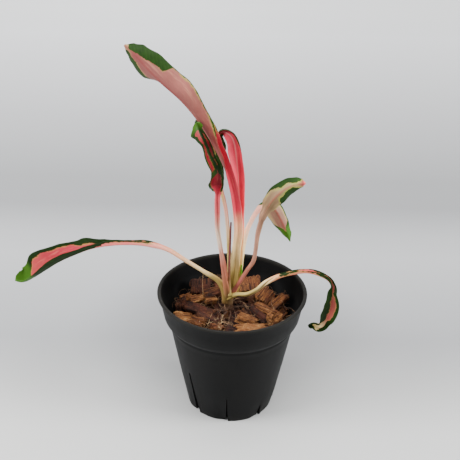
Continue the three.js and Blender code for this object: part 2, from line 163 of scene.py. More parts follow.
class Finish:
    def __init__(self, name):
        self.material = bpy.data.materials.new(name)
        self.material.use_nodes = True
        self.tree = self.material.node_tree
        self.tree.nodes.clear()

    def node(self, kind, settings=None, sockets=None, out=0):
        made = self.tree.nodes.new("ShaderNode" + kind)
        for name, value in (settings or {}).items():
            if name == "stops":
                self.setStops(made.color_ramp, value)
            else:
                setattr(made, name, value)
        for name, value in (sockets or {}).items():
            if isinstance(value, Wire):
                self.tree.links.new(value.socket, made.inputs[name])
            else:
                made.inputs[name].default_value = value
        return Wire(self, made.outputs[out])

    def setStops(self, colorRamp, stops):
        while len(colorRamp.elements) > 1:
            colorRamp.elements.remove(colorRamp.elements[-1])
        colorRamp.elements[0].position = stops[0][0]
        colorRamp.elements[0].color = (*stops[0][1], 1)
        for place, colour in stops[1:]:
            colorRamp.elements.new(place).color = (*colour, 1)

    def maths(self, operation, *values):
        sockets = dict(enumerate(values))
        return self.node("Math", {"operation": operation}, sockets)

    def attribute(self, name, out=2):
        return self.node("Attribute", {"attribute_name": name}, out=out)

    def size(self, value):
        return self.maths("ABSOLUTE", value)

    def objectPlace(self):
        return self.node("TexCoord", out=3)

    def split(self, place, axis):
        return self.node("SeparateXYZ", {}, {0: place}, out=axis)

    def stretched(self, place, scale):
        return self.node("Mapping", {}, {"Vector": place, "Scale": scale})

    def noise(self, place, scale, detail=2.0, roughness=0.5, distortion=0.0):
        return self.node("TexNoise", {}, {
            "Vector": place, "Scale": scale, "Detail": detail,
            "Roughness": roughness, "Distortion": distortion})

    def step(self, value, low, high):
        return self.node("MapRange", {"interpolation_type": "SMOOTHSTEP"}, {
            "Value": value, "From Min": low, "From Max": high})

    def ramp(self, value, stops):
        return self.node("ValToRGB", {"stops": stops}, {"Fac": value})

    def mix(self, factor, first, second):
        first, second = [(*c, 1) if isinstance(c, tuple) else c for c in (first, second)]
        return self.node("Mix", {"data_type": "RGBA"}, {0: factor, 6: first, 7: second}, out=2)

    def shaded(self, colour, amount):  # colour times a number that varies
        grey = self.node("CombineXYZ", {}, {0: amount, 1: amount, 2: amount})
        return self.node("VectorMath", {"operation": "MULTIPLY"}, {0: colour, 1: grey})

    def bump(self, height, strength, distance):
        return self.node("Bump", {}, {"Height": height, "Strength": strength, "Distance": distance})

    def close(self, colour, roughness, normal=None, **fixed):
        sockets = {"Base Color": colour, "Roughness": roughness}
        if normal:
            sockets["Normal"] = normal
        sockets.update({name.replace("_", " "): value for name, value in fixed.items()})
        shader = self.node("BsdfPrincipled", {}, sockets)
        output = self.tree.nodes.new("ShaderNodeOutputMaterial")
        self.tree.links.new(shader.socket, output.inputs["Surface"])
        return self.material


# Camera, floor and light

# tilt and roll are in radians
camera = dict(distance=750, tilt=0.496, aim=(-2.75, 0, 165.8), roll=0.018, lens=72.9, sensor=36)


def makeCamera():
    tilt, roll = camera["tilt"], camera["roll"]
    looking = Vector((0, math.cos(tilt), -math.sin(tilt)))
    right = Vector((1, 0, 0))
    up = right.cross(looking)
    turnedRight = right * math.cos(roll) + up * math.sin(roll)
    turnedUp = up * math.cos(roll) - right * math.sin(roll)
    place = (Vector(camera["aim"]) - looking * camera["distance"]) * mm
    made = add(bpy.ops.object.camera_add, location=place)
    made.matrix_world = Matrix((turnedRight, turnedUp, -looking)).transposed().to_4x4()
    made.location = place
    made.data.lens = camera["lens"]
    made.data.sensor_width = camera["sensor"]
    bpy.context.scene.camera = made


# darkerReach, toneShift and toneSpan are in metres
backdrop = dict(
    width=6000, front=-2500, bend=1150, rise=1500, radius=700, steps=24, smoothAngle=60, roughness=0.75,
    darker=0.10, darkerReach=0.35, toneShift=0.2, toneSpan=1.9,
    shade=0.30, shadeBack=110, shadeReach=(165, 135), shadeCore=0.35)
# These tones hold painted light and shade: darker just behind the pot, a lighter band further back, a darker
# band beyond it, and paper that grows lighter towards the wall.
paperPaintedLight = [  # from just before the camera's lower edge to the top of the wall
    (0.0, (0.50, 0.50, 0.49)), (0.08, (0.52, 0.52, 0.51)), (0.11, (0.43, 0.43, 0.425)),
    (0.15, (0.317, 0.320, 0.327)), (0.19, (0.343, 0.346, 0.354)), (0.235, (0.405, 0.407, 0.413)),
    (0.26, (0.375, 0.377, 0.384)),
    (0.30, (0.275, 0.277, 0.283)), (0.34, (0.295, 0.297, 0.302)), (0.45, (0.482, 0.482, 0.492)),
    (0.55, (0.685, 0.685, 0.695)), (0.68, (0.95, 0.95, 0.965)), (0.76, (1.0, 1.0, 1.0))]


def makeBackdrop():
    s = backdrop
    depth = s["bend"] - s["front"]
    sheet = add(bpy.ops.mesh.primitive_plane_add, size=1, location=(0, (s["front"] + depth / 2) * mm, 0))
    sheet.scale = (s["width"] * mm, depth * mm, 1)
    placeMesh(sheet)
    for edge in sheet.data.edges:
        edge.select = all(sheet.data.vertices[v].co.y > s["bend"] * mm - 1e-4 for v in edge.vertices)
    bpy.ops.object.mode_set(mode="EDIT")
    bpy.ops.mesh.spin(steps=s["steps"], angle=-math.pi / 2, axis=(1, 0, 0),
                      center=(0, s["bend"] * mm, s["radius"] * mm))
    bpy.ops.mesh.extrude_region_move(TRANSFORM_OT_translate={"value": (0, 0, s["rise"] * mm)})
    leaveEdit()
    tidyMesh(sheet, s["smoothAngle"])
    finish = Finish("studioPaper")
    place = finish.objectPlace()
    across, back, height = [finish.split(place, axis) for axis in range(3)]
    way = (back + height + s["toneShift"]) / s["toneSpan"]
    # painted shade: the paper is drawn a little darker towards the right
    lean = finish.step(across, -s["darkerReach"], s["darkerReach"])
    wide, deep = [reach * mm for reach in s["shadeReach"]]
    sideways, backwards = across / wide, (back - s["shadeBack"] * mm) / deep
    away = finish.maths("SQRT", sideways * sideways + backwards * backwards)
    shade = finish.step(away, 1.0, s["shadeCore"])  # the soft shade behind the pot
    light = (1.0 - lean * s["darker"]) * (1.0 - shade * s["shade"])
    colour = finish.shaded(finish.ramp(way, paperPaintedLight), light)
    sheet.name = "studioPaper"
    sheet.data.materials.append(finish.close(colour, s["roughness"]))


lamps = [
    dict(name="windowLeft", place=(-950, -260, 640), size=(560, 560), watts=20),
    dict(name="windowRight", place=(950, -180, 600), size=(560, 560), watts=18),
    dict(name="ceiling", place=(0, -100, 1700), size=(1600, 1200), watts=34),
]
lampAim = Vector((0, 0, 0.12))  # metres
sky = dict(colour=(0.94, 0.97, 1.0), strength=0.84)


def makeLight():
    for s in lamps:
        lamp = add(bpy.ops.object.light_add, type="AREA", location=[c * mm for c in s["place"]])
        lamp.name = s["name"]
        lamp.data.shape = "RECTANGLE"
        lamp.data.size, lamp.data.size_y = [c * mm for c in s["size"]]
        lamp.data.energy = s["watts"]
        lamp.rotation_euler = (lampAim - lamp.location).to_track_quat("-Z", "Y").to_euler()
    world = bpy.data.worlds.new("studioAir")
    bpy.context.scene.world = world
    world.use_nodes = True
    ground = world.node_tree.nodes["Background"]
    ground.inputs["Color"].default_value = (*sky["colour"], 1)
    ground.inputs["Strength"].default_value = sky["strength"]


makeCamera()
makeBackdrop()
makeLight()
print("camera, paper and light made")


# Nursery pot

pot = dict(
    sides=224, height=109, wall=1.2, floor=1.6, footRadius=37.5, shoulderRadius=52.3, shoulderHeight=80.4,
    collarFootRadius=57.1, collarFootHeight=87.2, collarTopRadius=60.5, lipRadius=62.5, lipHeight=2.2,
    bodySteps=14, insideSteps=8, smoothAngle=35)
# cuts are the height and width of every slit, from the one at the front round to the right. The panels
# between them are set in by the two setIn depths in turn, and by drop more beside the slit that ends them.
# side, edgeFrom and edgeWidth are shares of a panel, and inside hollowRadius the floor stays as it is.
slits = dict(
    firstAngle=-4, cuts=((28, 1.8), (12, 2.4), (40, 2), (40, 2), (40, 2), (40, 2), (40, 2), (45, 6.5)),
    narrowing=0.25, inward=5, depth=24, setIn=(0.3, 1.0), drop=1.6, fadeAbove=5, side=0.2, edgeFrom=0.62,
    edgeWidth=0.38, hollowRadius=20)
potBlack = dict(colour=(0.0035, 0.0036, 0.0038), dusty=(0.0075, 0.0073, 0.0070), worn=(0.018, 0.017, 0.0145))


def potOutline():  # radius and height pairs from the foot, up the outside, over the lip, down to the floor
    foot, shoulder, collar, collarTop, lip = [
        pot[part + "Radius"] for part in ("foot", "shoulder", "collarFoot", "collarTop", "lip")]
    shoulderHeight, collarHeight, top, floor = [
        pot[part] for part in ("shoulderHeight", "collarFootHeight", "height", "floor")]
    underLip = top - pot["lipHeight"]
    outside = [(foot - 0.9, 0), (foot - 0.25, 0.3), (foot, 1.1)]
    for k in range(1, pot["bodySteps"]):
        share = k / pot["bodySteps"]
        outside.append((foot + (shoulder - foot) * share, 1.1 + (shoulderHeight - 2.1) * share))
    outside += [
        (shoulder, shoulderHeight), (shoulder + 2.4, shoulderHeight + 3.6),
        (collar - 0.7, collarHeight - 1.1), (collar, collarHeight + 0.6), (collar + 1.7, collarHeight + 9.5),
        (collarTop - 0.25, underLip - 1.2),
        (collarTop + 0.1, underLip - 0.2), (lip - 0.6, underLip), (lip - 0.12, underLip + 0.3),
        (lip, underLip + 0.8), (lip, top - 0.8), (lip - 0.25, top - 0.25), (lip - 0.8, top)]
    inside = [(collarTop - 0.2, top - 0.05), (collarTop - 0.9, top - 0.5)]
    inside += [(radius - pot["wall"], height) for radius, height in [
        (collarTop - 0.1, top - 3), (collar + 1.7, collarHeight + 9.5), (collar, collarHeight + 1),
        (shoulder + 1.5, shoulderHeight + 3.4), (shoulder, shoulderHeight + 0.3)]]
    for k in range(1, pot["insideSteps"] + 1):
        share = k / pot["insideSteps"]
        inside.append((shoulder + (foot - shoulder) * share - pot["wall"],
                       shoulderHeight + (floor - shoulderHeight) * share))
    return outside + inside


def makePot():
    s = pot
    outline = potOutline()
    radius, height = outline[0]
    body = add(bpy.ops.mesh.primitive_circle_add, vertices=s["sides"], radius=radius * mm, fill_type="NGON",
               location=(0, 0, 0))
    editAll(body, "EDGE")
    for nextRadius, nextHeight in outline[1:]:
        growth = nextRadius / radius
        bpy.ops.mesh.extrude_region_move(TRANSFORM_OT_translate={"value": (0, 0, (nextHeight - height) * mm)})
        bpy.ops.transform.resize(value=(growth, growth, 1), center_override=(0, 0, nextHeight * mm))
        radius, height = nextRadius, nextHeight
    leaveEdit()
    tidyMesh(body, s["smoothAngle"])
    cutSlits(body)
    setPanels(body)
    tidyMesh(body, s["smoothAngle"])
    return body


def cutSlits(body):
    s = slits
    wedges = []
    for k, (top, wide) in enumerate(s["cuts"]):
        wedge = add(bpy.ops.mesh.primitive_cube_add, size=1)
        for vertex in wedge.data.vertices:
            high = vertex.co.z > 0
            width = wide * s["narrowing"] if high else wide
            reach = pot["footRadius"] - s["inward"] + (s["depth"] if vertex.co.y < 0 else 0)
            vertex.co = Vector((math.copysign(width / 2, vertex.co.x), -reach, top if high else -1)) * mm
        wedge.rotation_euler = (0, 0, math.radians(s["firstAngle"] + 360 / len(s["cuts"]) * k))
        placeMesh(wedge)
        wedges.append(wedge)
    cutter = joinPieces(wedges, "slitWedges")
    applyModifier(body, "BOOLEAN", operation="DIFFERENCE", object=cutter, solver="EXACT")
    bpy.data.objects.remove(cutter)


def setPanels(body):  # one side of each slit is set in a little, and every other panel a little more
    s = slits
    count = len(s["cuts"])
    for vertex in body.data.vertices:
        x, y, z = vertex.co / mm
        radius = math.hypot(x, y)
        turn = ((math.degrees(math.atan2(x, -y)) - s["firstAngle"]) / 360 * count) % count
        panel = int(turn)
        across = turn - panel
        tallest = s["cuts"][panel][0] + s["fadeAbove"]
        nextTallest = s["cuts"][(panel + 1) % count][0] + s["fadeAbove"]
        if z > max(tallest, nextTallest) or radius < s["hollowRadius"]:
            continue
        fade = smoothStep(1 - z / tallest)
        nextFade = smoothStep(1 - z / nextTallest)
        sides = smoothStep(across / s["side"]), smoothStep((1 - across) / s["side"])
        inset = s["setIn"][panel % 2] * min(fade, nextFade) * sides[0] * sides[1]
        edge = s["drop"] * nextFade * smoothStep((across - s["edgeFrom"]) / s["edgeWidth"])
        drawIn(vertex, 1 - (inset + edge) / radius)


def potFinish():
    finish = Finish("potPlastic")
    place = finish.objectPlace()
    grain = finish.noise(place, 1400, 3, 0.6)
    cloud = finish.noise(place, 28, 3, 0.6)
    streak = finish.noise(finish.stretched(place, (60, 60, 7)), 1.6, 3, 0.6)
    height = finish.split(place, 2)
    dust = finish.step(cloud * 0.7 + streak * 0.5, 0.5, 0.85)
    lip = finish.step(height, 0.1055, 0.1078) * (0.35 + cloud * 0.8)
    foot = finish.step(height, 0.010, 0.0) * finish.step(grain + cloud, 0.85, 1.2)
    speck = finish.step(finish.noise(place, 420, 2, 0.5), 0.74, 0.80)
    colour = finish.mix(dust * 0.7, potBlack["colour"], potBlack["dusty"])
    colour = finish.mix(lip * 0.75, colour, potBlack["worn"])
    colour = finish.mix(foot * 0.5 + speck * 0.2, colour, potBlack["worn"])
    crease = finish.step(finish.size(height - (pot["shoulderHeight"] + 0.4) * mm), 0.003, 0.0006)
    rough = 0.44 + streak * 0.10 + dust * 0.08 + crease * 0.22
    normal = finish.bump(grain * 0.4 + cloud * 0.6, 0.2, 0.00012)
    return finish.close(colour, rough, normal, Specular_IOR_Level=0.08)


potBody = makePot()
finishPiece(potBody, "nurseryPot", potFinish(), "pot_plastic", "pot")
print("pot made:", len(potBody.data.polygons), "faces")


# Husk chips, fibres and the dark bed under them

bed = dict(
    level=82, riseRight=3, riseBack=8, drop=9.5, rings=14, sides=72, radius=51, rimFrom=50, overlap=0.4,
    lumps=((3, 0.13, 2.6), (9, 0.4, 1.4)))  # place in the noise, its scale and the height of the lumps
# scattered chips: clearPlace and clearReach keep them off the cane, and wallGap off the pot
chips = dict(
    seed=31, shapes=8, count=110, length=(8, 18), width=(5.5, 11), thickness=(4, 8), lean=0.65, sink=(2.5, 8),
    reach=49, tones=(0.04, 0.64), goldenAngle=137.508, clearPlace=(-2, 11.5), clearReach=6.5, wallGap=0.5,
    fineCuts=11, plainCuts=3, smoothAngle=30)
# how uneven a chip one unit long is: its skew, the pull on its corners, and its ridges, lumps and torn ends
chipShape = dict(
    skew=0.22, corners=((-0.1, 0.05), (-0.11, 0.05), (-0.16, 0.06)), ridge=0.055, lump=0.07, torn=0.14,
    face=0.45, rounding=0.03)
# chips that show by themselves: length along the fibres, width and thickness, place, turn, paleness and shape
markedChips = [
    ((15, 23, 6), (15, 35, 93), (6, -34, 104), 0.60, 0),
    ((15, 13, 8), (28, 21, 89.5), (10, -14, 60), 0.62, 5),
    ((18, 9, 7), (40, 14, 88.5), (14, -24, 38), 0.60, 4),
    ((21, 9, 7), (29, 1, 88), (-14, 8, -30), 0.72, 2),
    ((12, 12, 12), (36, -8, 84.5), (6, 4, 62), 0.72, 3),
    ((30, 11, 8), (17, -21, 83.5), (14, -5, 8), 0.78, 1),
    ((17, 8, 8), (13, -10, 85.5), (-8, 12, -14), 0.68, 6),
    ((19, 5, 5), (23, -4, 88), (0, 14, -46), 0.20, 7),
    ((27, 9, 8), (-26, 1, 86), (24, 8, -14), 0.24, 0),
    ((21, 8, 7), (-20, -8, 84.5), (-12, 10, -24), 0.34, 6),
    ((15, 11, 6), (-41, -6, 83.5), (12, 8, 4), 0.80, 2),
    ((13, 12, 7), (-29, -12, 83), (8, -8, -34), 0.60, 5),
    ((13, 13, 10), (-42, 9, 85), (10, 76, 10), 0.26, 7),
    ((10, 8, 7), (-39, 19, 87), (6, -10, 30), 0.62, 3),
    ((12, 8, 6), (-29.5, 17, 88), (22, -6, 16), 0.82, 4),
    ((10, 5, 5), (-18, 16, 88), (12, -10, 14), 0.80, 1),
    ((14, 9, 7), (-17, 24, 90), (28, -12, 10), 0.50, 6),
    ((13, 19, 7), (-27, 33, 92), (4, -58, 96), 0.28, 0),
    ((14, 12, 6), (-9, 38, 91), (26, -6, 14), 0.46, 5),
    ((13, 7, 5), (-12, -18, 83), (8, 20, 40), 0.62, 3),
    ((16, 9, 7), (3, -24, 81.5), (4, 8, -12), 0.30, 2),
]


def bedLevel(x, y):
    return bed["level"] + (bed["riseRight"] * x + bed["riseBack"] * y) / pot["shoulderRadius"]


def insideRadius(z):
    steps = [(0, pot["footRadius"]), (pot["shoulderHeight"], pot["shoulderRadius"]),
             (pot["collarFootHeight"], pot["collarFootRadius"]), (pot["height"], pot["collarTopRadius"])]
    for (low, radius), (high, nextRadius) in zip(steps, steps[1:]):
        if z < high:
            break
    return radius + (nextRadius - radius) * ((z - low) / (high - low)) - pot["wall"]


def makeChipShape(index, cuts):  # a torn block one unit each way, with its fibres along X
    s = chipShape
    block = add(bpy.ops.mesh.primitive_cube_add, size=1)
    editAll(block)
    bpy.ops.mesh.subdivide(number_cuts=cuts)
    leaveEdit()
    rough = random.Random(chips["seed"] + index)
    skew = [rough.uniform(-s["skew"], s["skew"]) for _ in range(4)]
    corner = {}
    for vertex in block.data.vertices:
        x, y, z = vertex.co
        key = (x > 0, y > 0, z > 0)
        if key not in corner:
            corner[key] = Vector([rough.uniform(*pull) for pull in s["corners"]])
        pull = corner[key]
        ridge = noise.noise(Vector((x * 0.9, y * 9.0, z * 5 + index * 9))) * s["ridge"]
        lump = noise.noise(Vector((x * 2.4 + index * 5, y * 2.4, z * 2.2))) * s["lump"]
        torn = noise.noise(Vector((y * 11, z * 9, index * 3.7))) * s["torn"] if abs(x) > s["face"] else 0
        out = Vector((x, y, z)).normalized()
        vertex.co += Vector((
            pull.x * abs(x) * 2 * math.copysign(1, x) + torn,
            pull.y * abs(y) * 2 * math.copysign(1, y) + skew[0] * x * 0.6,
            pull.z * abs(z) * 2 * math.copysign(1, z) + skew[1] * x * 0.5 + skew[2] * y * 0.4))
        vertex.co += out * (ridge + lump)
        faces = (abs(x) > s["face"]) + (abs(y) > s["face"]) + (abs(z) > s["face"])
        vertex.co -= out * s["rounding"] * max(0, faces - 1)
    bpy.ops.object.shade_smooth_by_angle(angle=math.radians(chips["smoothAngle"]))
    return block


def layChip(shape, size, place, turn, tone, randomly):
    piece = shape.copy()
    piece.data = shape.data.copy()
    bpy.context.scene.collection.objects.link(piece)
    mesh = piece.data
    shift = Vector([randomly.uniform(-200, 200) for _ in range(3)])
    grain, ends = [], []
    for vertex in mesh.vertices:
        spot = Vector([c * s for c, s in zip(vertex.co, size)])
        grain += list(spot + shift)
        ends.append(abs(vertex.co.x) * 2)
        vertex.co = spot * mm
    coordinates = mesh.attributes.new("grain", "FLOAT_VECTOR", "POINT")
    coordinates.data.foreach_set("vector", grain)
    setAttribute(piece, "ends", ends)
    setAttribute(piece, "tone", [tone] * len(mesh.vertices))
    mesh.transform(Matrix.Translation(Vector(place) * mm) @ Euler(turn, "XYZ").to_matrix().to_4x4())
    for vertex in mesh.vertices:  # nothing pokes through the pot
        x, y, z = vertex.co / mm
        limit = insideRadius(z) - chips["wallGap"]
        reach = math.hypot(x, y)
        if reach > limit:
            drawIn(vertex, limit / reach)
    return piece


def makeChips():
    s = chips
    fine = [makeChipShape(k, s["fineCuts"]) for k in range(s["shapes"])]
    plain = [makeChipShape(k + 20, s["plainCuts"]) for k in range(s["shapes"])]
    randomly = random.Random(s["seed"])
    laid = []
    for size, place, turn, tone, shape in markedChips:
        turn = [math.radians(a) for a in turn]
        laid.append(layChip(fine[shape], size, place, turn, tone, randomly))
    golden = math.radians(s["goldenAngle"])
    for k in range(s["count"]):
        reach = s["reach"] * math.sqrt((k + 0.5) / s["count"])
        x, y = reach * math.cos(k * golden), reach * math.sin(k * golden)
        if math.hypot(x - s["clearPlace"][0], y - s["clearPlace"][1]) < s["clearReach"]:
            continue
        size = [randomly.uniform(*s[side]) for side in ("length", "width", "thickness")]
        turn = (randomly.uniform(-s["lean"], s["lean"]), randomly.uniform(-s["lean"], s["lean"]),
                randomly.uniform(0, 2 * math.pi))
        place = (x, y, bedLevel(x, y) - randomly.uniform(*s["sink"]))
        low, high = s["tones"]
        tone = low + (high - low) * randomly.random()
        laid.append(layChip(plain[k % s["shapes"]], size, place, turn, tone, randomly))
    for shape in fine + plain:
        bpy.data.objects.remove(shape)
    return joinPieces(laid, "huskChips")


def makeBedFloor():
    s = bed
    floor = add(bpy.ops.mesh.primitive_circle_add, vertices=s["sides"], radius=s["radius"] * mm,
                fill_type="NGON", location=(0, 0, 0))
    editAll(floor, "FACE")
    for _ in range(s["rings"] - 1):
        bpy.ops.mesh.inset(thickness=s["radius"] / s["rings"] * mm)
    leaveEdit()
    for vertex in floor.data.vertices:
        x, y, _ = vertex.co / mm
        coarse, fine = [
            noise.noise(Vector((x, y, place)) * scale) * rise for place, scale, rise in s["lumps"]]
        vertex.co.z = (bedLevel(x, y) - s["drop"] + (coarse + fine)) * mm
        limit = insideRadius(vertex.co.z / mm) + s["overlap"]
        if math.hypot(x, y) > s["rimFrom"]:
            drawIn(vertex, limit / math.hypot(x, y))
    tidyMesh(floor, 180)
    return floor


huskTones = [(0.0, (0.010, 0.004, 0.003)), (0.25, (0.045, 0.014, 0.008)), (0.5, (0.115, 0.041, 0.014)),
             (0.75, (0.27, 0.105, 0.030)), (1.0, (0.48, 0.26, 0.10))]
huskRed = (0.11, 0.026, 0.012)
# The bed under the chips is nearly black: the dust's own dark brown, darkened further as painted shade in the
# gaps between the chips.
dustAndShadeTones = [(0.3, (0.003, 0.002, 0.0015)), (0.6, (0.012, 0.006, 0.004)), (0.85, (0.04, 0.017, 0.009))]


def huskFinish():
    finish = Finish("huskChip")
    grain = finish.attribute("grain", 1)
    tone = finish.attribute("tone")
    ends = finish.attribute("ends")
    rib = finish.noise(finish.stretched(grain, (0.05, 0.75, 0.75)), 1.0, 3, 0.6, 0.2)
    fibre = finish.noise(finish.stretched(grain, (0.10, 2.2, 2.2)), 1.0, 3, 0.65, 0.2)
    blotch = finish.noise(grain, 0.13, 4, 0.6)
    crumbs = finish.noise(grain, 0.8, 4, 0.7)
    cutEnd = finish.step(ends, 0.80, 1.02)
    # painted shade: the grooves between the ribs are drawn darker
    grooveShade = finish.step(rib, 0.50, 0.38)
    level = tone * 0.92 + (blotch - 0.5) * 0.7 + (fibre - 0.5) * 1.0 + (crumbs - 0.5) * 0.7 + cutEnd * 0.08
    colour = finish.ramp(level - grooveShade * 0.36, huskTones)
    reddish = finish.step(finish.noise(grain, 0.07, 2, 0.5), 0.50, 0.62)
    colour = finish.mix(reddish * 0.35, colour, huskRed)
    height = rib * 1.2 + fibre * 1.0 + crumbs * 0.6
    normal = finish.bump(height, 1.0, 0.0016)
    return finish.close(colour, 0.85 + (fibre - 0.5) * 0.2, normal, Specular_IOR_Level=0.22)


# the bed's colour is partly the dust's own and partly painted shade for the gaps between the chips
def bedFinish():
    finish = Finish("huskDustAndShade")
    place = finish.objectPlace()
    crumbs = finish.noise(place, 260, 4, 0.7)
    normal = finish.bump(crumbs, 1.0, 0.002)
    return finish.close(finish.ramp(crumbs, dustAndShadeTones), 0.95, normal, Specular_IOR_Level=0.2)


huskMaterial = huskFinish()
chipPile = makeChips()
finishPiece(chipPile, "huskChips", huskMaterial, "husk_chip", "husk_bed")
bedFloor = makeBedFloor()
finishPiece(bedFloor, "huskDustAndShade", bedFinish(), "husk_chip")
print("husk made:", len(chipPile.data.polygons), "faces")


# Fibres and fine roots, each group one piece

fibreGroups = [
    dict(name="huskFibres", seed=3, count=330, reach=47, centre=(0, 0), length=(8, 22), thick=(0.09, 0.21),
         lift=(2.0, 7.5), wander=0.55,
         colours=[(0.0, (0.03, 0.012, 0.007)), (0.5, (0.11, 0.05, 0.024)), (1.0, (0.36, 0.21, 0.10))]),
    dict(name="fineRoots", seed=8, count=90, reach=12, centre=(-18, -17), length=(6, 14), thick=(0.10, 0.20),
         lift=(4.0, 8.5), wander=0.6,
         colours=[(0.0, (0.06, 0.025, 0.01)), (0.45, (0.26, 0.14, 0.06)), (1.0, (0.72, 0.50, 0.26))]),
]
fibreShape = dict(steps=6, jitter=1.4, arch=0.8, taper=0.5, wallGap=1)


def makeStrands(name, strands, sides=0, smooth=3):
    curve = bpy.data.curves.new(name, "CURVE")
    curve.dimensions = "3D"
    curve.bevel_depth = 1.0
    curve.bevel_resolution = sides
    curve.resolution_u = smooth
    curve.use_fill_caps = True
    for points, radii in strands:
        spline = curve.splines.new("NURBS")
        spline.points.add(len(points) - 1)
        spline.order_u = 4
        spline.use_endpoint_u = True
        for spot, point, radius in zip(spline.points, points, radii):
            spot.co = (*(Vector(point) * mm), 1)
            spot.radius = radius * mm
    piece = bpy.data.objects.new(name, curve)
    bpy.context.scene.collection.objects.link(piece)
    take(piece)
    bpy.ops.object.convert(target="MESH")
    made = bpy.context.object
    tidyMesh(made, 60)
    return made


def scatterFibres(s):
    randomly = random.Random(s["seed"])
    strands = []
    for _ in range(s["count"]):
        reach = s["reach"] * math.sqrt(randomly.random())
        angle = randomly.uniform(0, 2 * math.pi)
        x, y = s["centre"][0] + reach * math.cos(angle), s["centre"][1] + reach * math.sin(angle)
        heading = randomly.uniform(0, 2 * math.pi)
        lift = randomly.uniform(*s["lift"])
        steps = fibreShape["steps"]
        stride = randomly.uniform(*s["length"]) / steps
        thick = randomly.uniform(*s["thick"])
        points, radii = [], []
        for k in range(steps + 1):
            jitter = randomly.uniform(-fibreShape["jitter"], fibreShape["jitter"])
            z = bedLevel(x, y) + lift + jitter - abs(k - steps / 2) * fibreShape["arch"]
            limit = insideRadius(z) - fibreShape["wallGap"]
            far = math.hypot(x, y)
            if far > limit:
                x, y = x * limit / far, y * limit / far
            points.append((x, y, z))
            radii.append(thick * (1 - fibreShape["taper"] * k / steps))
            heading += randomly.gauss(0, s["wander"])
            x += stride * math.cos(heading)
            y += stride * math.sin(heading)
        strands.append((points, radii))
    return makeStrands(s["name"], strands, smooth=2)


def fibreFinish(name, colours):
    finish = Finish(name)
    place = finish.objectPlace()
    tint = finish.noise(place, 190, 2, 0.6)
    colour = finish.ramp(finish.step(tint, 0.28, 0.72), colours)
    return finish.close(colour, 0.75, finish.bump(finish.noise(place, 1600, 2), 0.4, 0.0002))


for group in fibreGroups:
    strands = scatterFibres(group)
    finishPiece(strands, group["name"], fibreFinish(group["name"], group["colours"]), "husk_chip")
    print(group["name"], "made:", len(strands.data.polygons), "faces")


# Cane with leaf scars, and the roots that run from it

cane = dict(
    x=-3.5, y=11.5, foot=62, top=102, radius=3.7, rings=9, sides=36, stepsPerRing=4, bulge=0.42,
    narrower=1.4, narrowFrom=0.85, narrowShare=0.15, swayEvery=14, sway=0.5, uneven=0.5, noiseScale=160,
    rootRadii=(0.7, 0.5, 0.35, 0.2),
    roots=[
        [(-3, 9, 82.5), (-7, 3, 83), (-10, -4, 82.5), (-13, -11, 81)],
        [(-2, 9, 82.5), (1, 2, 83.5), (-4, -5, 83.5), (-2, -13, 81)],
        [(-3, 11, 82), (-10, 8, 84), (-14, 5, 83.5), (-17, -3, 82)],
        [(0, 12, 83), (7, 14, 85), (13, 11, 85.5), (18, 14, 84)],
    ])
# a thread root that stands up by itself
looseRoot = dict(
    points=[(-25, 24, 86), (-25.5, 24, 98), (-26, 24, 106), (-24.5, 23, 112)], radii=(0.26, 0.24, 0.18, 0.1),
    colours=[(0, (0.35, 0.2, 0.09)), (1, (0.62, 0.42, 0.22))])
caneTones = dict(
    buried=(0.055, 0.022, 0.010), bare=(0.17, 0.10, 0.035), mottle=(0.10, 0.045, 0.018),
    scar=(0.07, 0.03, 0.012))


def makeCane():
    s = cane
    steps = s["rings"] * s["stepsPerRing"]
    stem = add(bpy.ops.mesh.primitive_circle_add, vertices=s["sides"], radius=s["radius"] * mm,
               fill_type="NGON", location=(s["x"] * mm, s["y"] * mm, s["foot"] * mm))
    placeMesh(stem)
    editAll(stem, "EDGE")
    rise = (s["top"] - s["foot"]) / steps
    width = s["radius"]
    for k in range(1, steps + 1):
        phase = (k % s["stepsPerRing"]) / s["stepsPerRing"]
        narrowing = s["narrower"] * smoothStep((k / steps - s["narrowFrom"]) / s["narrowShare"])
        wanted = s["radius"] + s["bulge"] * (1 - phase) ** 3 - narrowing
        centre = (s["x"] * mm, s["y"] * mm, (s["foot"] + rise * k) * mm)
        bpy.ops.mesh.extrude_region_move(TRANSFORM_OT_translate={"value": (0, 0, rise * mm)})
        bpy.ops.transform.resize(value=(wanted / width, wanted / width, 1), center_override=centre)
        width = wanted
    bpy.ops.mesh.edge_face_add()
    leaveEdit()
    for vertex in stem.data.vertices:
        lean = math.sin((vertex.co.z / mm - s["foot"]) / s["swayEvery"]) * s["sway"]
        vertex.co.x += (lean + noise.noise(vertex.co * s["noiseScale"]) * s["uneven"]) * mm
        vertex.co.y += noise.noise(vertex.co * s["noiseScale"] + Vector((7, 0, 0))) * s["uneven"] * mm
    roots = [(route, s["rootRadii"]) for route in s["roots"]]
    rootPiece = makeStrands("roots", roots, sides=3, smooth=12)
    whole = joinPieces([stem, rootPiece], "cane")
    tidyMesh(whole, 50)
    return whole


def caneFinish():
    finish = Finish("caneSkin")
    place = finish.objectPlace()
    height = finish.split(place, 2)
    ringHeight = (cane["top"] - cane["foot"]) * mm / cane["rings"]
    ring = finish.maths("FRACT", (height - cane["foot"] * mm) / ringHeight)
    scar = finish.step(ring, 0.12, 0.0) + finish.step(ring, 0.92, 1.0)
    mottle = finish.noise(finish.stretched(place, (1, 1, 0.4)), 420, 4, 0.65)
    rise = finish.step(height, 0.085, 0.096)
    skin = finish.mix(rise, caneTones["buried"], caneTones["bare"])
    colour = finish.mix(finish.step(mottle, 0.45, 0.7) * 0.6, skin, caneTones["mottle"])
    colour = finish.mix(scar * 0.55, colour, caneTones["scar"])
    return finish.close(colour, 0.55, finish.bump(mottle * 0.6 - scar * 0.4, 0.7, 0.0005))


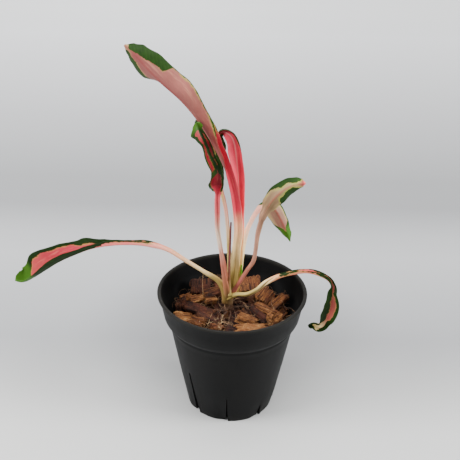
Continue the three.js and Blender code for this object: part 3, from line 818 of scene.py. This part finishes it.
caneStem = makeCane()
finishPiece(caneStem, "caneStem", caneFinish(), "cane_skin", "cane")
loose = makeStrands("looseRoots", [(looseRoot["points"], looseRoot["radii"])], sides=1, smooth=8)
finishPiece(loose, "looseRoots", fibreFinish("looseRoot", looseRoot["colours"]), "husk_chip")
print("cane made:", len(caneStem.data.polygons), "faces")


# Leaves
# Each leaf has a route of midrib points from its foot to its tip. Keys run along the route from 0 to 1:
# width is half the leaf, fold how far each half rises from flat, curl how much more by the margin, and
# turn rolls the leaf about its route, 0 facing the front. greenLow and greenHigh are how far the green
# reaches in from each margin. upper and under are the colours of the two faces from foot to tip. Where
# greenHigh or under is left out, it is the same as greenLow or upper.
# The other choices have defaults. lop widens the high half and narrows the low half, stripe is half the width
# of a green band along the midrib, and wave is how far the margins ripple. tipFrom is where a bright green
# tip starts. halo and haloReach are how strong and how wide the yellow edge of the green is, and greenLight
# how bright the green is. streaks is how strong the pale streaks are, pale how far the face fades to straw by
# its margins, lowShade how dark the painted shade on the low half of the under face is, and seam where across
# the leaf a pale line runs.

olive = (0.24, 0.17, 0.035)
straw = (0.44, 0.33, 0.10)
cream = (0.92, 0.68, 0.33)
blush = (0.94, 0.46, 0.26)
pink = (0.80, 0.14, 0.14)
hotPink = (0.72, 0.04, 0.085)
crimson = (0.44, 0.022, 0.045)
wine = (0.14, 0.004, 0.010)
dusty = (0.28, 0.095, 0.075)
rose = (0.26, 0.055, 0.045)
tan = (0.36, 0.19, 0.09)


leafShape = dict(
    towards=(0, -0.88, 0.475), blade=0.8, edge=0.3, midrib=1.0, midribWidth=1.8, sheath=0.7,
    stalkRoundness=1.0, stalkLimit=2.4, stalkShare=0.25, leastCurl=1e-3, waves=3, waveShift=1.3,
    waveFrom=0.3, waveUntil=0.15, flutter=0.35, flutterScale=0.16, flutterSeed=31, veinSweep=1.5,
    veinSpacing=4.4, splineSteps=40)
# tipFrom and seam lie off the leaf, and stripe far below zero, unless a leaf sets them
leafDefaults = dict(
    lop=[(0, 0), (1, 0)], stripe=[(0, -99), (1, -99)], wave=0, tipFrom=2, halo=0.45, haloReach=0.9,
    greenLight=1.0, streaks=0.15, pale=0, lowShade=0, seam=9)
noGreen = [(0, -9), (1, -9)]
# colours that both faces of a leaf share on its stalk
slimStalk = [(0, olive), (0.1, straw), (0.3, straw), (0.4, (0.60, 0.42, 0.28)), (0.5, (0.60, 0.28, 0.22))]
curlStalk = [(0, olive), (0.05, (0.28, 0.16, 0.06)), (0.12, (0.38, 0.14, 0.07)), (0.24, (0.38, 0.12, 0.08)),
             (0.31, (0.50, 0.21, 0.15)), (0.37, (0.66, 0.48, 0.36)), (0.42, (0.66, 0.48, 0.36)),
             (0.48, (0.64, 0.26, 0.20)), (0.53, (0.60, 0.11, 0.11)), (0.62, (0.56, 0.07, 0.09))]
leftStalk = [(0, (0.09, 0.045, 0.018)), (0.025, (0.19, 0.12, 0.035)), (0.06, (0.27, 0.18, 0.05)),
             (0.13, straw), (0.2, cream), (0.3, blush)]

leaves = [
    dict(
        name="leafTall", node="leaf_tall", slot="leaf_pink", stations=210, across=36, bladeFrom=0.3,
        route=[(-0.5, 14, 94), (1, 12.5, 112), (2.5, 9.5, 140), (4, 7, 162), (2.5, 5, 180.5),
               (-0.5, 2, 199), (-4.5, -1, 215), (-10.5, -4, 230.5), (-18, -7, 246.5), (-25, -9, 259.5),
               (-33, -11, 271.5), (-41, -12, 281), (-50, -12, 289), (-58.5, -11, 297), (-67.5, -9, 306),
               (-74.5, -7, 313), (-81.5, -4, 318.5)],
        width=[(0, 4.8), (0.1, 4), (0.2, 3.6), (0.3, 3.6), (0.45, 4.4), (0.58, 6), (0.7, 10), (0.82, 14.5),
               (0.9, 14.5), (0.96, 10.5), (0.985, 6.5), (1, 0.8)],
        turn=[(0, 0), (0.3, 12), (0.48, 18), (0.58, 38), (0.68, 84), (0.76, 100), (0.84, 130), (0.9, 152),
              (1, 160)],
        fold=[(0, 20), (0.25, 35), (0.45, 38), (0.6, 66), (0.8, 50), (0.92, 25), (1, 35)],
        curl=[(0, 0), (0.6, 10), (0.8, 25), (1, 20)],
        wave=0.6, streaks=0.2, halo=0.75, haloReach=1.5, lowShade=0.55,
        greenLow=[(0, -3), (0.6, -2), (0.64, 0.5), (0.86, 0.5), (0.885, 6), (0.93, 7), (0.965, 6.5),
                  (0.985, 6), (0.995, 0), (1, -2)],
        greenHigh=[(0, -3), (0.6, -2), (0.64, 0.6), (0.855, 0.6), (0.872, 8), (0.92, 9.5), (0.965, 9),
                   (0.985, 7), (0.995, 0), (1, -2)],
        upper=[(0, olive), (0.1, straw), (0.2, cream), (0.29, blush), (0.35, hotPink), (0.46, crimson),
               (0.62, crimson), (0.8, crimson), (1, pink)],
        under=[(0, olive), (0.1, straw), (0.2, cream), (0.36, pink), (0.5, rose), (0.62, rose),
               (0.74, dusty), (0.9, dusty), (0.96, rose), (0.975, tan), (1, (0.50, 0.28, 0.14))]),
    dict(
        name="leafArch", node="leaf_arch", slot="leaf_red", stations=180, across=28, bladeFrom=0.26,
        route=[(0.5, 14.5, 94), (5, 15, 117), (6.5, 16, 138.5), (6.5, 17, 157), (6, 19, 174.5),
               (5.5, 21, 191.5), (4.5, 24, 209.5), (3.5, 26, 223), (1.5, 28, 231), (-1.5, 30.5, 236),
               (-7, 33, 238.5), (-12, 35, 237), (-13.5, 36, 231.5), (-10.5, 36, 225), (-7.5, 35, 216)],
        width=[(0, 4), (0.12, 2.8), (0.25, 2.5), (0.4, 3.6), (0.5, 4.8), (0.6, 6.2), (0.72, 7.2),
               (0.8, 6.4), (0.88, 4.8), (0.95, 3), (1, 0.4)],
        turn=[(0, 0), (0.4, 5), (0.6, 0), (0.75, -30), (0.9, -60), (1, -60)],
        fold=[(0, 15), (0.35, 45), (0.6, 35), (0.8, 35), (1, 50)],
        curl=[(0, 0), (0.5, 30), (1, 20)],
        lop=[(0, 0), (0.45, 0.05), (0.6, 0.2), (0.72, 0.3), (0.82, 0.2), (0.9, 0), (1, 0)],
        wave=0.4, streaks=0.04, seam=0.3, greenLight=0.6,
        greenLow=[(0, -3), (0.7, -2), (0.765, 3.5), (0.8, 5.5), (0.85, 5.5), (0.88, 2), (0.93, 4), (1, 4)],
        greenHigh=[(0, -3), (0.84, -2), (0.88, 0.4), (0.9, 3), (1, 4)],
        upper=[(0, olive), (0.1, straw), (0.2, cream), (0.34, blush), (0.40, pink), (0.47, hotPink),
               (0.7, (0.62, 0.035, 0.07)), (0.84, crimson), (1, wine)],
        under=[(0, olive), (0.08, straw), (0.26, cream), (0.4, blush), (0.52, pink), (0.8, rose),
               (1, rose)]),
    dict(
        name="leafCurl", node="leaf_curl", slot="leaf_red", stations=200, across=32, bladeFrom=0.62,
        route=[(-4, 12, 92), (-4.5, 5.5, 107.5), (-6.5, 2, 127), (-9.5, 0, 147), (-12.5, -2, 166.5),
               (-13, -4, 182), (-13, -5, 197), (-11.5, -6, 209), (-12, -7, 217), (-14.5, -9, 225.5),
               (-18, -11, 233.5), (-21, -12, 242), (-24, -12.5, 250), (-27.5, -12, 257.5),
               (-29, -11, 262.5)],
        width=[(0, 3.2), (0.12, 3.3), (0.22, 2.2), (0.32, 1.4), (0.62, 1.5), (0.64, 2.4), (0.652, 4.6),
               (0.668, 6.2), (0.69, 7), (0.745, 7), (0.775, 6.6), (0.8, 6.4), (0.85, 6), (0.9, 4.6),
               (0.94, 5.6), (0.965, 7), (0.985, 5.2), (1, 2.4)],
        turn=[(0, 120), (0.25, 60), (0.5, 10), (0.65, -5), (0.72, 0), (0.8, 15), (1, 10)],
        fold=[(0, 30), (0.45, 35), (0.64, 35), (0.68, 15), (0.74, 18), (0.82, 24), (0.9, 20), (1, 26)],
        curl=[(0, 0), (0.6, 30), (0.68, 36), (0.74, 42), (0.82, 35), (1, 30)],
        lop=[(0, 0), (0.63, 0), (0.65, 0.4), (0.67, 0.45), (0.745, 0.5), (0.775, 0.44), (0.8, 0.36),
             (0.85, 0.25), (0.9, 0.1), (0.94, 0.43), (0.965, 0.64), (0.985, 0.2), (1, 0.1)],
        stripe=[(0, -3), (0.74, -3), (0.77, 1.5), (0.86, 1.3), (0.93, 1.5), (0.97, 0.6), (1, -1)],
        wave=0.8, tipFrom=0.955, greenLight=0.7, halo=0.15, streaks=0.06,
        greenLow=[(0, -3), (0.63, -2), (0.66, 1.2), (0.725, 1.6), (0.742, 6), (0.757, 6), (0.775, 1.6),
                  (0.86, 1.8), (0.93, 1), (0.955, 1), (0.97, 7), (1, 9)],
        greenHigh=[(0, -3), (0.63, -2), (0.66, 1.8), (0.7, 2.0), (0.725, 3), (0.742, 11), (0.757, 11),
                   (0.775, 2.2), (0.83, 1.8), (0.87, 2.8), (0.93, 3.4), (0.955, 4), (0.97, 9), (1, 9)],
        upper=[*curlStalk, (0.65, crimson), (0.68, wine), (0.87, wine), (0.92, (0.26, 0.012, 0.02)),
               (0.97, (0.30, 0.02, 0.03)), (1, crimson)],
        under=[*curlStalk, (0.67, (0.15, 0.022, 0.018)), (0.87, (0.15, 0.022, 0.018)),
               (0.95, (0.34, 0.03, 0.04)), (1, (0.50, 0.06, 0.07))]),
    dict(
        name="leafSlim", node="leaf_slim", slot="leaf_green", stations=150, across=24, bladeFrom=0.5,
        route=[(-2.5, 16.5, 94), (-2.5, 16.5, 118), (-3.5, 16, 147.5), (-5, 16.5, 164), (-6.5, 16, 177),
               (-9, 16, 188.5), (-11, 15.5, 199.5), (-13, 14, 211.5), (-15.5, 13, 222), (-19, 11, 233.5),
               (-22.5, 10, 243), (-27, 9.5, 250.5), (-29.5, 9.5, 256.5)],
        width=[(0, 2.4), (0.15, 1.3), (0.61, 1.3), (0.645, 2.8), (0.68, 3.8), (0.75, 4.4), (0.85, 4.4),
               (0.93, 6), (0.98, 4.6), (1, 1.6)],
        turn=[(0, 0), (0.5, 60), (0.7, 80), (0.85, 110), (0.93, 150), (1, 165)],
        fold=[(0, 30), (0.5, 60), (0.8, 60), (1, 20)],
        curl=[(0, 0), (1, 30)],
        wave=0.5, streaks=0.05, greenLight=0.7,
        greenLow=[(0, -3), (0.6, -1), (0.635, 2.4), (0.72, 3), (0.86, 2.4), (0.92, 7), (1, 7)],
        upper=[*slimStalk, (0.6, (0.50, 0.16, 0.13)), (0.7, crimson), (0.86, wine),
               (1, (0.28, 0.012, 0.022))],
        under=[*slimStalk, (0.58, straw), (0.75, (0.20, 0.16, 0.05)), (0.85, (0.20, 0.03, 0.03)),
               (1, (0.28, 0.02, 0.03))]),
    dict(
        name="leafDroop", node="leaf_droop", slot="leaf_cream", stations=150, across=28, bladeFrom=0.56,
        route=[(0.5, 17.5, 94), (6, 20, 117), (8.5, 24, 138.5), (12.5, 29, 154), (19, 34, 165),
               (25.5, 38.5, 169.5), (31.5, 42.5, 167), (36.5, 45, 160.5), (40.5, 46, 152.5),
               (45, 46.5, 142.5), (49.5, 46, 131)],
        width=[(0, 2.6), (0.15, 1.4), (0.56, 1.8), (0.62, 2.6), (0.69, 7.2), (0.78, 10), (0.87, 9.2),
               (0.945, 5.6), (1, 0.4)],
        turn=[(0, 0), (0.4, -60), (0.6, -130), (0.8, -170), (1, -170)],
        fold=[(0, 30), (0.6, 40), (0.75, 25), (1, 30)],
        curl=[(0, 0), (1, 30)],
        lop=[(0, 0), (0.6, 0), (0.69, 0.25), (0.78, 0.3), (0.9, 0.3), (1, 0)],
        wave=0.4, tipFrom=0.88, streaks=0.06, pale=0.8,
        greenLow=[(0, -3), (0.58, -2), (0.62, 1.2), (0.68, 0.6), (0.8, 0.8), (0.86, 1.4), (0.9, 6),
                  (1, 6)],
        greenHigh=[(0, -3), (0.58, -2), (0.62, 1.2), (0.68, 0.4), (0.8, 0.5), (0.86, 1), (0.9, 8), (1, 8)],
        upper=[(0, olive), (0.1, straw), (0.24, cream), (0.4, blush), (0.5, blush), (0.6, cream),
               (0.72, tan), (0.85, (0.30, 0.11, 0.08)), (1, tan)],
        under=[(0, olive), (0.1, straw), (0.24, cream), (0.4, (0.80, 0.56, 0.36)),
               (0.5, (0.76, 0.40, 0.28)), (0.58, (0.66, 0.30, 0.22)), (0.66, tan),
               (0.76, (0.26, 0.15, 0.10)), (0.88, (0.24, 0.11, 0.08)), (1, tan)]),
    dict(
        name="leafRight", node="leaf_right", slot="leaf_cream", stations=170, across=34, bladeFrom=0.64,
        route=[(-1, 12, 94), (6.5, 5, 114), (12.5, 3, 127), (17, 1, 136.5), (18.5, 0, 147.5),
               (19.5, -2, 162), (21.5, -4.5, 174.5), (23.5, -6.5, 183.5), (26, -7.5, 189.5),
               (29.5, -8.5, 196.5), (35, -9, 203.5), (41.5, -9, 209), (48, -9, 212), (55, -8, 212.5)],
        width=[(0, 2.8), (0.12, 1.3), (0.45, 1.15), (0.62, 1.6), (0.69, 3.4), (0.75, 7.2), (0.82, 9),
               (0.9, 8), (0.955, 6.3), (0.985, 4.3), (1, 0.8)],
        turn=[(0, 120), (0.2, 150), (0.5, 165), (0.65, 175), (1, 190)],
        fold=[(0, 30), (0.5, 50), (0.7, 15), (1, 25)],
        curl=[(0, 0), (1, 30)],
        wave=0.5, halo=0.85, haloReach=2.6, pale=0.5,
        greenLow=[(0, -3), (0.74, -2), (0.79, 1.2), (0.83, 3.6), (0.87, 5), (0.95, 5.4), (0.97, 3),
                  (0.985, -0.5), (1, -2)],
        greenHigh=[(0, -3), (0.76, -1), (0.79, 1), (0.82, 5.6), (0.92, 6), (0.95, 3.6), (0.975, 1),
                   (1, -2)],
        upper=[(0, olive), (0.06, blush), (0.16, pink), (0.3, blush), (0.5, pink), (0.7, pink),
               (1, crimson)],
        under=[(0, olive), (0.04, (0.36, 0.12, 0.08)), (0.16, (0.42, 0.12, 0.09)),
               (0.3, (0.34, 0.13, 0.08)), (0.42, (0.34, 0.17, 0.12)), (0.54, (0.34, 0.16, 0.11)),
               (0.68, (0.22, 0.12, 0.07)), (0.74, (0.16, 0.10, 0.05)), (0.84, (0.24, 0.15, 0.08)),
               (0.95, (0.42, 0.33, 0.14)), (0.99, rose), (1, pink)]),
    dict(
        name="leafLeft", node="leaf_left", slot="leaf_green", stations=200, across=34, bladeFrom=0.34,
        route=[(-5.6, 10, 90), (-5.6, 9.7, 97), (-7.4, 9.5, 105.5), (-12, 10, 112.8), (-23, 10, 120.5),
               (-40, 11, 131.5), (-54.5, 12, 140.5), (-69, 13, 144), (-87, 14, 144), (-102.5, 16, 141.5),
               (-118, 18, 137), (-133, 20, 129.5), (-148, 21, 121), (-160, 21, 112.5), (-170, 20, 106),
               (-177.5, 19, 102.5), (-185.5, 18, 104)],
        width=[(0, 3), (0.06, 3.4), (0.12, 2.3), (0.2, 1.5), (0.35, 1.7), (0.45, 3.2), (0.6, 4),
               (0.68, 7.6), (0.78, 10.6), (0.88, 13.6), (0.94, 10.8), (0.975, 10.4), (0.99, 8), (1, 3.5)],
        turn=[(0, 150), (0.15, 100), (0.4, 75), (0.65, 65), (0.8, 54), (1, 40)],
        fold=[(0, 30), (0.4, 55), (0.6, 60), (0.8, 54), (1, 40)],
        curl=[(0, 0), (1, 20)],
        lop=[(0, 0), (0.55, 0), (0.66, -0.33), (0.78, -0.3), (0.88, -0.3), (0.94, -0.12), (1, 0)],
        wave=0.7, tipFrom=0.9, streaks=0.2, greenLight=0.55, halo=0.6, haloReach=1.5,
        greenLow=[(0, -3), (0.36, -1), (0.41, 1.1), (0.55, 1.8), (0.62, 4), (0.68, 5), (0.73, 3.2),
                  (0.8, 3), (0.88, 4), (0.92, 8), (0.945, 14), (1, 14)],
        greenHigh=[(0, -3), (0.38, -1), (0.44, 0.8), (0.58, 1.6), (0.66, 5), (0.75, 10), (0.9, 12),
                   (0.94, 14), (1, 14)],
        upper=[*leftStalk, (0.4, pink), (0.6, (0.50, 0.035, 0.06)), (0.8, (0.44, 0.025, 0.045)),
               (0.9, (0.50, 0.06, 0.06)), (1, hotPink)],
        under=[*leftStalk, (0.38, (0.82, 0.30, 0.24)), (0.5, pink), (0.6, pink), (0.75, rose), (1, rose)]),
    dict(
        name="leafLow", node="leaf_low", slot="leaf_green", stations=190, across=30, bladeFrom=0.36,
        route=[(-4, 10.5, 94), (4, 4.5, 101), (12.5, 1, 104), (20, -2, 110), (27.5, -5, 119.5),
               (38.5, -9, 129), (51, -12, 134.5), (62.5, -13, 135.5), (72, -17, 134.5), (77.5, -20, 132.5),
               (80.3, -22, 128.5), (80.3, -24, 122), (81, -25, 115), (80.5, -25.5, 107), (77.5, -25.5, 98),
               (75, -25, 91), (71, -24, 88.5), (67, -23.5, 91), (63, -23, 89.5)],
        width=[(0, 3.2), (0.1, 1.7), (0.38, 1.5), (0.48, 2.3), (0.62, 2.4), (0.655, 2.8), (0.7, 4.8),
               (0.77, 7.2), (0.84, 7.2), (0.89, 5), (0.93, 5), (0.965, 4.4), (0.99, 3), (1, 0.8)],
        turn=[(0, 90), (0.2, 60), (0.4, -60), (0.6, -50), (0.72, 5), (0.85, 12), (1, -10)],
        fold=[(0, 30), (0.4, 60), (0.63, 55), (0.7, 30), (0.8, 18), (0.9, 24), (1, 36)],
        curl=[(0, 0), (1, 30)],
        lop=[(0, 0), (0.66, 0), (0.74, -0.08), (0.86, 0), (0.93, -0.3), (1, -0.1)],
        wave=0.5, greenLight=0.6,
        greenLow=[(0, -3), (0.34, -1), (0.39, 0.8), (0.46, 0.3), (0.55, 1), (0.64, 2), (0.69, 5), (0.74, 6),
                  (0.86, 5.6), (0.9, 1), (0.94, -1), (0.965, 3), (1, 6)],
        greenHigh=[(0, -3), (0.34, -1), (0.4, 0.8), (0.5, 0.6), (0.64, 1.2), (0.7, 3.4), (0.76, 3),
                   (0.84, 3.6), (0.88, 5), (0.92, 5), (0.95, 1), (0.97, 3), (1, 6)],
        upper=[(0, olive), (0.1, straw), (0.3, cream), (0.4, blush), (0.5, pink), (0.62, rose),
               (0.7, (0.20, 0.04, 0.03)), (0.86, (0.26, 0.055, 0.04)), (0.93, cream), (1, straw)],
        under=[(0, olive), (0.08, straw), (0.2, straw), (0.28, cream), (0.34, (0.78, 0.32, 0.17)),
               (0.42, (0.66, 0.20, 0.11)), (0.54, (0.60, 0.17, 0.10)), (0.62, (0.34, 0.08, 0.055)),
               (0.68, (0.20, 0.05, 0.035)), (0.88, (0.24, 0.055, 0.04)), (0.94, cream), (1, straw)]),
    dict(
        name="drySheath", node="dry_sheath", slot="sheath_dry", stations=50, across=8, bladeFrom=0.2,
        route=[(-2, 5, 100), (-2.8, 6.5, 118), (-2.7, 7.8, 135), (-2.4, 8.6, 150), (-2, 9.6, 168)],
        width=[(0, 1.0), (0.35, 0.5), (0.6, 0.4), (1, 0.25)],
        turn=[(0, 180), (1, 170)],
        fold=[(0, 30), (1, 45)],
        curl=[(0, 20), (1, 20)],
        greenLow=noGreen,
        upper=[(0, straw), (0.3, (0.20, 0.10, 0.06)), (0.5, (0.10, 0.045, 0.04)),
               (1, (0.05, 0.022, 0.026))]),
    dict(
        name="youngSheath", node="young_sheath", slot="sheath_young", stations=50, across=12, bladeFrom=0.2,
        route=[(1, 11.5, 96), (5.2, 10.5, 109), (7, 10, 119.5), (7.5, 10, 127.5)],
        width=[(0, 2.2), (0.5, 1.9), (1, 0.4)],
        turn=[(0, 150), (1, 160)],
        fold=[(0, 30), (1, 45)],
        curl=[(0, 20), (1, 20)],
        greenLow=noGreen,
        upper=[(0, olive), (0.62, olive), (0.78, (0.06, 0.22, 0.01)), (1, (0.10, 0.30, 0.02))]),
]


def smoothLine(route, steps):  # centripetal spline through the route, cut into equal lengths
    points = [Vector(p) for p in route]
    ends = [points[0] * 2 - points[1], *points, points[-1] * 2 - points[-2]]
    dense = []
    for i in range(1, len(points)):
        p0, p1, p2, p3 = ends[i - 1:i + 3]
        t1 = math.sqrt((p1 - p0).length)
        t2 = t1 + math.sqrt((p2 - p1).length)
        t3 = t2 + math.sqrt((p3 - p2).length)
        for k in range(leafShape["splineSteps"]):
            t = t1 + (t2 - t1) * k / leafShape["splineSteps"]
            a1 = p0.lerp(p1, t / t1)
            a2 = p1.lerp(p2, (t - t1) / (t2 - t1))
            a3 = p2.lerp(p3, (t - t2) / (t3 - t2))
            b1 = a1.lerp(a2, t / t2)
            b2 = a2.lerp(a3, (t - t1) / (t3 - t1))
            dense.append(b1.lerp(b2, (t - t1) / (t2 - t1)))
    dense.append(points[-1])
    gone = [0.0]
    for a, b in zip(dense, dense[1:]):
        gone.append(gone[-1] + (b - a).length)
    line, k = [], 0
    for i in range(steps + 1):
        wanted = gone[-1] * i / steps
        while k < len(gone) - 2 and gone[k + 1] < wanted:
            k += 1
        share = (wanted - gone[k]) / max(1e-9, gone[k + 1] - gone[k])
        line.append(dense[k].lerp(dense[k + 1], share))
    slopes = [(line[min(steps, i + 1)] - line[max(0, i - 1)]).normalized() for i in range(steps + 1)]
    return line, slopes, gone[-1]


def leafPoint(leaf, centre, slope, u, v, length):
    s = leafShape
    level = Vector(s["towards"]).cross(slope).normalized()
    facing = slope.cross(level)
    turn = math.radians(keyed(leaf["turn"], u))
    side = level * math.cos(turn) + facing * math.sin(turn)
    face = facing * math.cos(turn) - level * math.sin(turn)
    fold = math.radians(keyed(leaf["fold"], u))
    curl = math.radians(keyed(leaf["curl"], u)) + s["leastCurl"]
    along = max(0.0, (u - leaf["bladeFrom"]) / (1 - leaf["bladeFrom"]))
    hand = (v > 0) - (v < 0)
    a = abs(v)
    width = keyed(leaf["width"], u) * (1 + hand * keyed(leaf["lop"], u))
    out = (math.sin(fold + curl * a) - math.sin(fold)) / curl
    up = (math.cos(fold) - math.cos(fold + curl * a)) / curl
    phase = 2 * math.pi * s["waves"] * along + (s["waveShift"] if v > 0 else 0)
    loose = min(1, along / s["waveFrom"], (1 - along) / s["waveUntil"])
    ripple = leaf["wave"] * loose * a * a * math.sin(phase)
    spot = Vector((u * length * s["flutterScale"], v * 2, leaf["wave"] * s["flutterSeed"]))
    flutter = s["flutter"] * loose * a ** 4 * noise.noise(spot)
    top = centre + side * hand * out * width + face * (up * width + ripple + flutter)
    swing = hand * (fold + curl * a)
    normal = face * math.cos(swing) - side * math.sin(swing)
    rib = max(0, 1 - a * width / s["midribWidth"])
    thin = s["blade"] + (s["edge"] - s["blade"]) * a * a
    blade = thin + (1 - along) * s["midrib"] * rib
    stalk = s["sheath"] + min(width, s["stalkLimit"]) * s["stalkRoundness"] * math.sqrt(max(0, 1 - v * v))
    share = smoothStep(along / s["stalkShare"])
    thickness = stalk * (1 - share) + blade * share
    green = keyed(leaf["greenHigh" if v > 0 else "greenLow"], u) - (1 - a) * width
    green = max(green, keyed(leaf["stripe"], u) - a * width)
    return top, top - normal * thickness, green, width


def makeLeaf(leaf):
    stations, across = leaf["stations"], leaf["across"]
    line, slopes, length = smoothLine(leaf["route"], stations)
    blade = add(bpy.ops.mesh.primitive_grid_add, x_subdivisions=across, y_subdivisions=stations, size=0.1)
    editAll(blade)
    bpy.ops.mesh.extrude_region()
    leaveEdit()
    upper, lower, along, cross, green, veins = [], [], [], [], [], []
    for i in range(stations + 1):
        u = i / stations
        for j in range(across + 1):
            v = 2 * j / across - 1
            top, under, depth, width = leafPoint(leaf, line[i], slopes[i], u, v, length)
            upper += list(top * mm)
            lower += list(under * mm)
            along.append(u)
            cross.append(v)
            green.append(depth)
            veins.append((u * length - abs(v) * width * leafShape["veinSweep"]) / leafShape["veinSpacing"])
    blade.data.vertices.foreach_set("co", upper + lower)
    for name, values in dict(along=along, across=cross, green=green, veins=veins).items():
        setAttribute(blade, name, values * 2)
    setAttribute(blade, "under", [0.0] * len(along) + [1.0] * len(along))
    editAll(blade)
    bpy.ops.mesh.normals_make_consistent(inside=False)
    leaveEdit()
    bpy.ops.object.shade_smooth()
    return blade


leafGreens = dict(
    upper=[(0.25, (0.004, 0.014, 0.002)), (0.6, (0.012, 0.040, 0.003)), (0.9, (0.030, 0.080, 0.009))],
    under=[(0.25, (0.005, 0.018, 0.002)), (0.6, (0.013, 0.042, 0.003)), (0.9, (0.038, 0.095, 0.010))],
    halo=(0.30, 0.30, 0.055), tip=(0.045, 0.12, 0.010), vein=(0.08, 0.17, 0.03))
leafTints = dict(
    vein=(0.30, 0.04, 0.04), midrib=(0.34, 0.04, 0.04), pale=(0.46, 0.34, 0.15), lowShade=(0.15, 0.05, 0.05),
    seam=(0.86, 0.36, 0.32))


def leafFinish(leaf):
    finish = Finish(leaf["name"])
    place = finish.objectPlace()
    along, across, under, green, veins = [
        finish.attribute(name) for name in ("along", "across", "under", "green", "veins")]
    under = finish.step(under, 0.3, 0.7)
    middle = finish.size(across)
    coarse = finish.noise(place, 230, 3, 0.6)
    fine = finish.noise(place, 900, 3, 0.6)
    cloud = finish.noise(place, 75, 3, 0.55)
    wander = finish.maths("FRACT", veins + (coarse - 0.5) * 0.8 + (cloud - 0.5) * 1.2)
    vein = finish.step(finish.size(wander - 0.5), 0.16, 0.0)
    bladeShare = finish.step(along, leaf["bladeFrom"], leaf["bladeFrom"] + 0.2)
    lengthwise = finish.node("CombineXYZ", {}, {0: across * 3.2, 1: along * 5, 2: under * 9})
    streak = finish.noise(lengthwise, 1.6, 4, 0.65, 0.3)
    # the two faces, from foot to tip
    way = along + (cloud - 0.5) * 0.035
    inner = finish.mix(under, finish.ramp(way, leaf["upper"]), finish.ramp(way, leaf["under"]))
    inner = finish.shaded(inner, 0.45 + cloud * 0.35 + coarse * 0.25 + streak * 0.5)
    inner = finish.mix(finish.step(streak, 0.52, 0.70) * leaf["streaks"], inner, blush)
    inner = finish.mix(vein * bladeShare * (0.06 + under * 0.08), inner, leafTints["vein"])
    inner = finish.mix(finish.step(middle, 0.09, 0.02) * bladeShare * 0.4, inner, leafTints["midrib"])
    inner = finish.mix(finish.step(middle, 0.35, 0.9) * bladeShare * leaf["pale"], inner, leafTints["pale"])
    # painted shade: the low half of the under face is drawn darker, as if shaded by its curled lower edge
    lowShade = finish.step(across, 0.5, 0.03) * under * bladeShare * leaf["lowShade"]
    inner = finish.mix(lowShade, inner, leafTints["lowShade"])
    seam = finish.step(finish.size(across - leaf["seam"]), 0.12, 0.02)
    inner = finish.mix(seam * 0.35, inner, leafTints["seam"])
    # green margins, torn along the side veins, with a yellow-green edge that comes and goes
    depth = green + (coarse - 0.5) * 3.2 + (fine - 0.5) * 1.2 + (cloud - 0.5) * 1.6 + vein * 0.35
    halo = finish.step(depth, -leaf["haloReach"], -0.15) * finish.step(cloud, 0.35, 0.6)
    solid = finish.step(depth, -0.2, 0.3)
    speck = finish.step(finish.noise(place, 520, 2, 0.5), 0.70, 0.76)
    freckle = speck * finish.step(green, -5, -1) * bladeShare
    patch = coarse * 0.6 + cloud * 0.4
    faces = [finish.ramp(patch, leafGreens[face]) for face in ("upper", "under")]
    leafy = finish.mix(under, *faces)
    leafy = finish.mix(vein * 0.08, leafy, leafGreens["vein"])
    leafy = finish.shaded(leafy, leaf["greenLight"])
    tip = finish.step(along, leaf["tipFrom"], leaf["tipFrom"] + 0.03)
    leafy = finish.mix(tip, leafy, leafGreens["tip"])
    colour = finish.mix(halo * leaf["halo"], inner, leafGreens["halo"])
    colour = finish.mix(freckle * 0.4, colour, leafGreens["halo"])
    colour = finish.mix(solid, colour, leafy)
    rough = 0.40 + under * 0.12 + (fine - 0.5) * 0.15
    height = vein * 0.08 * bladeShare + fine * 0.15 + cloud * 0.5 + streak * 0.5
    return finish.close(colour, rough, finish.bump(height, 0.35, 0.0005), Specular_IOR_Level=0.11)


for chosen in leaves:
    leaf = {**leafDefaults, "greenHigh": chosen["greenLow"], "under": chosen["upper"], **chosen}
    blade = makeLeaf(leaf)
    finishPiece(blade, leaf["name"], leafFinish(leaf), leaf["slot"], leaf["node"])
print("leaves made:", len(leaves))
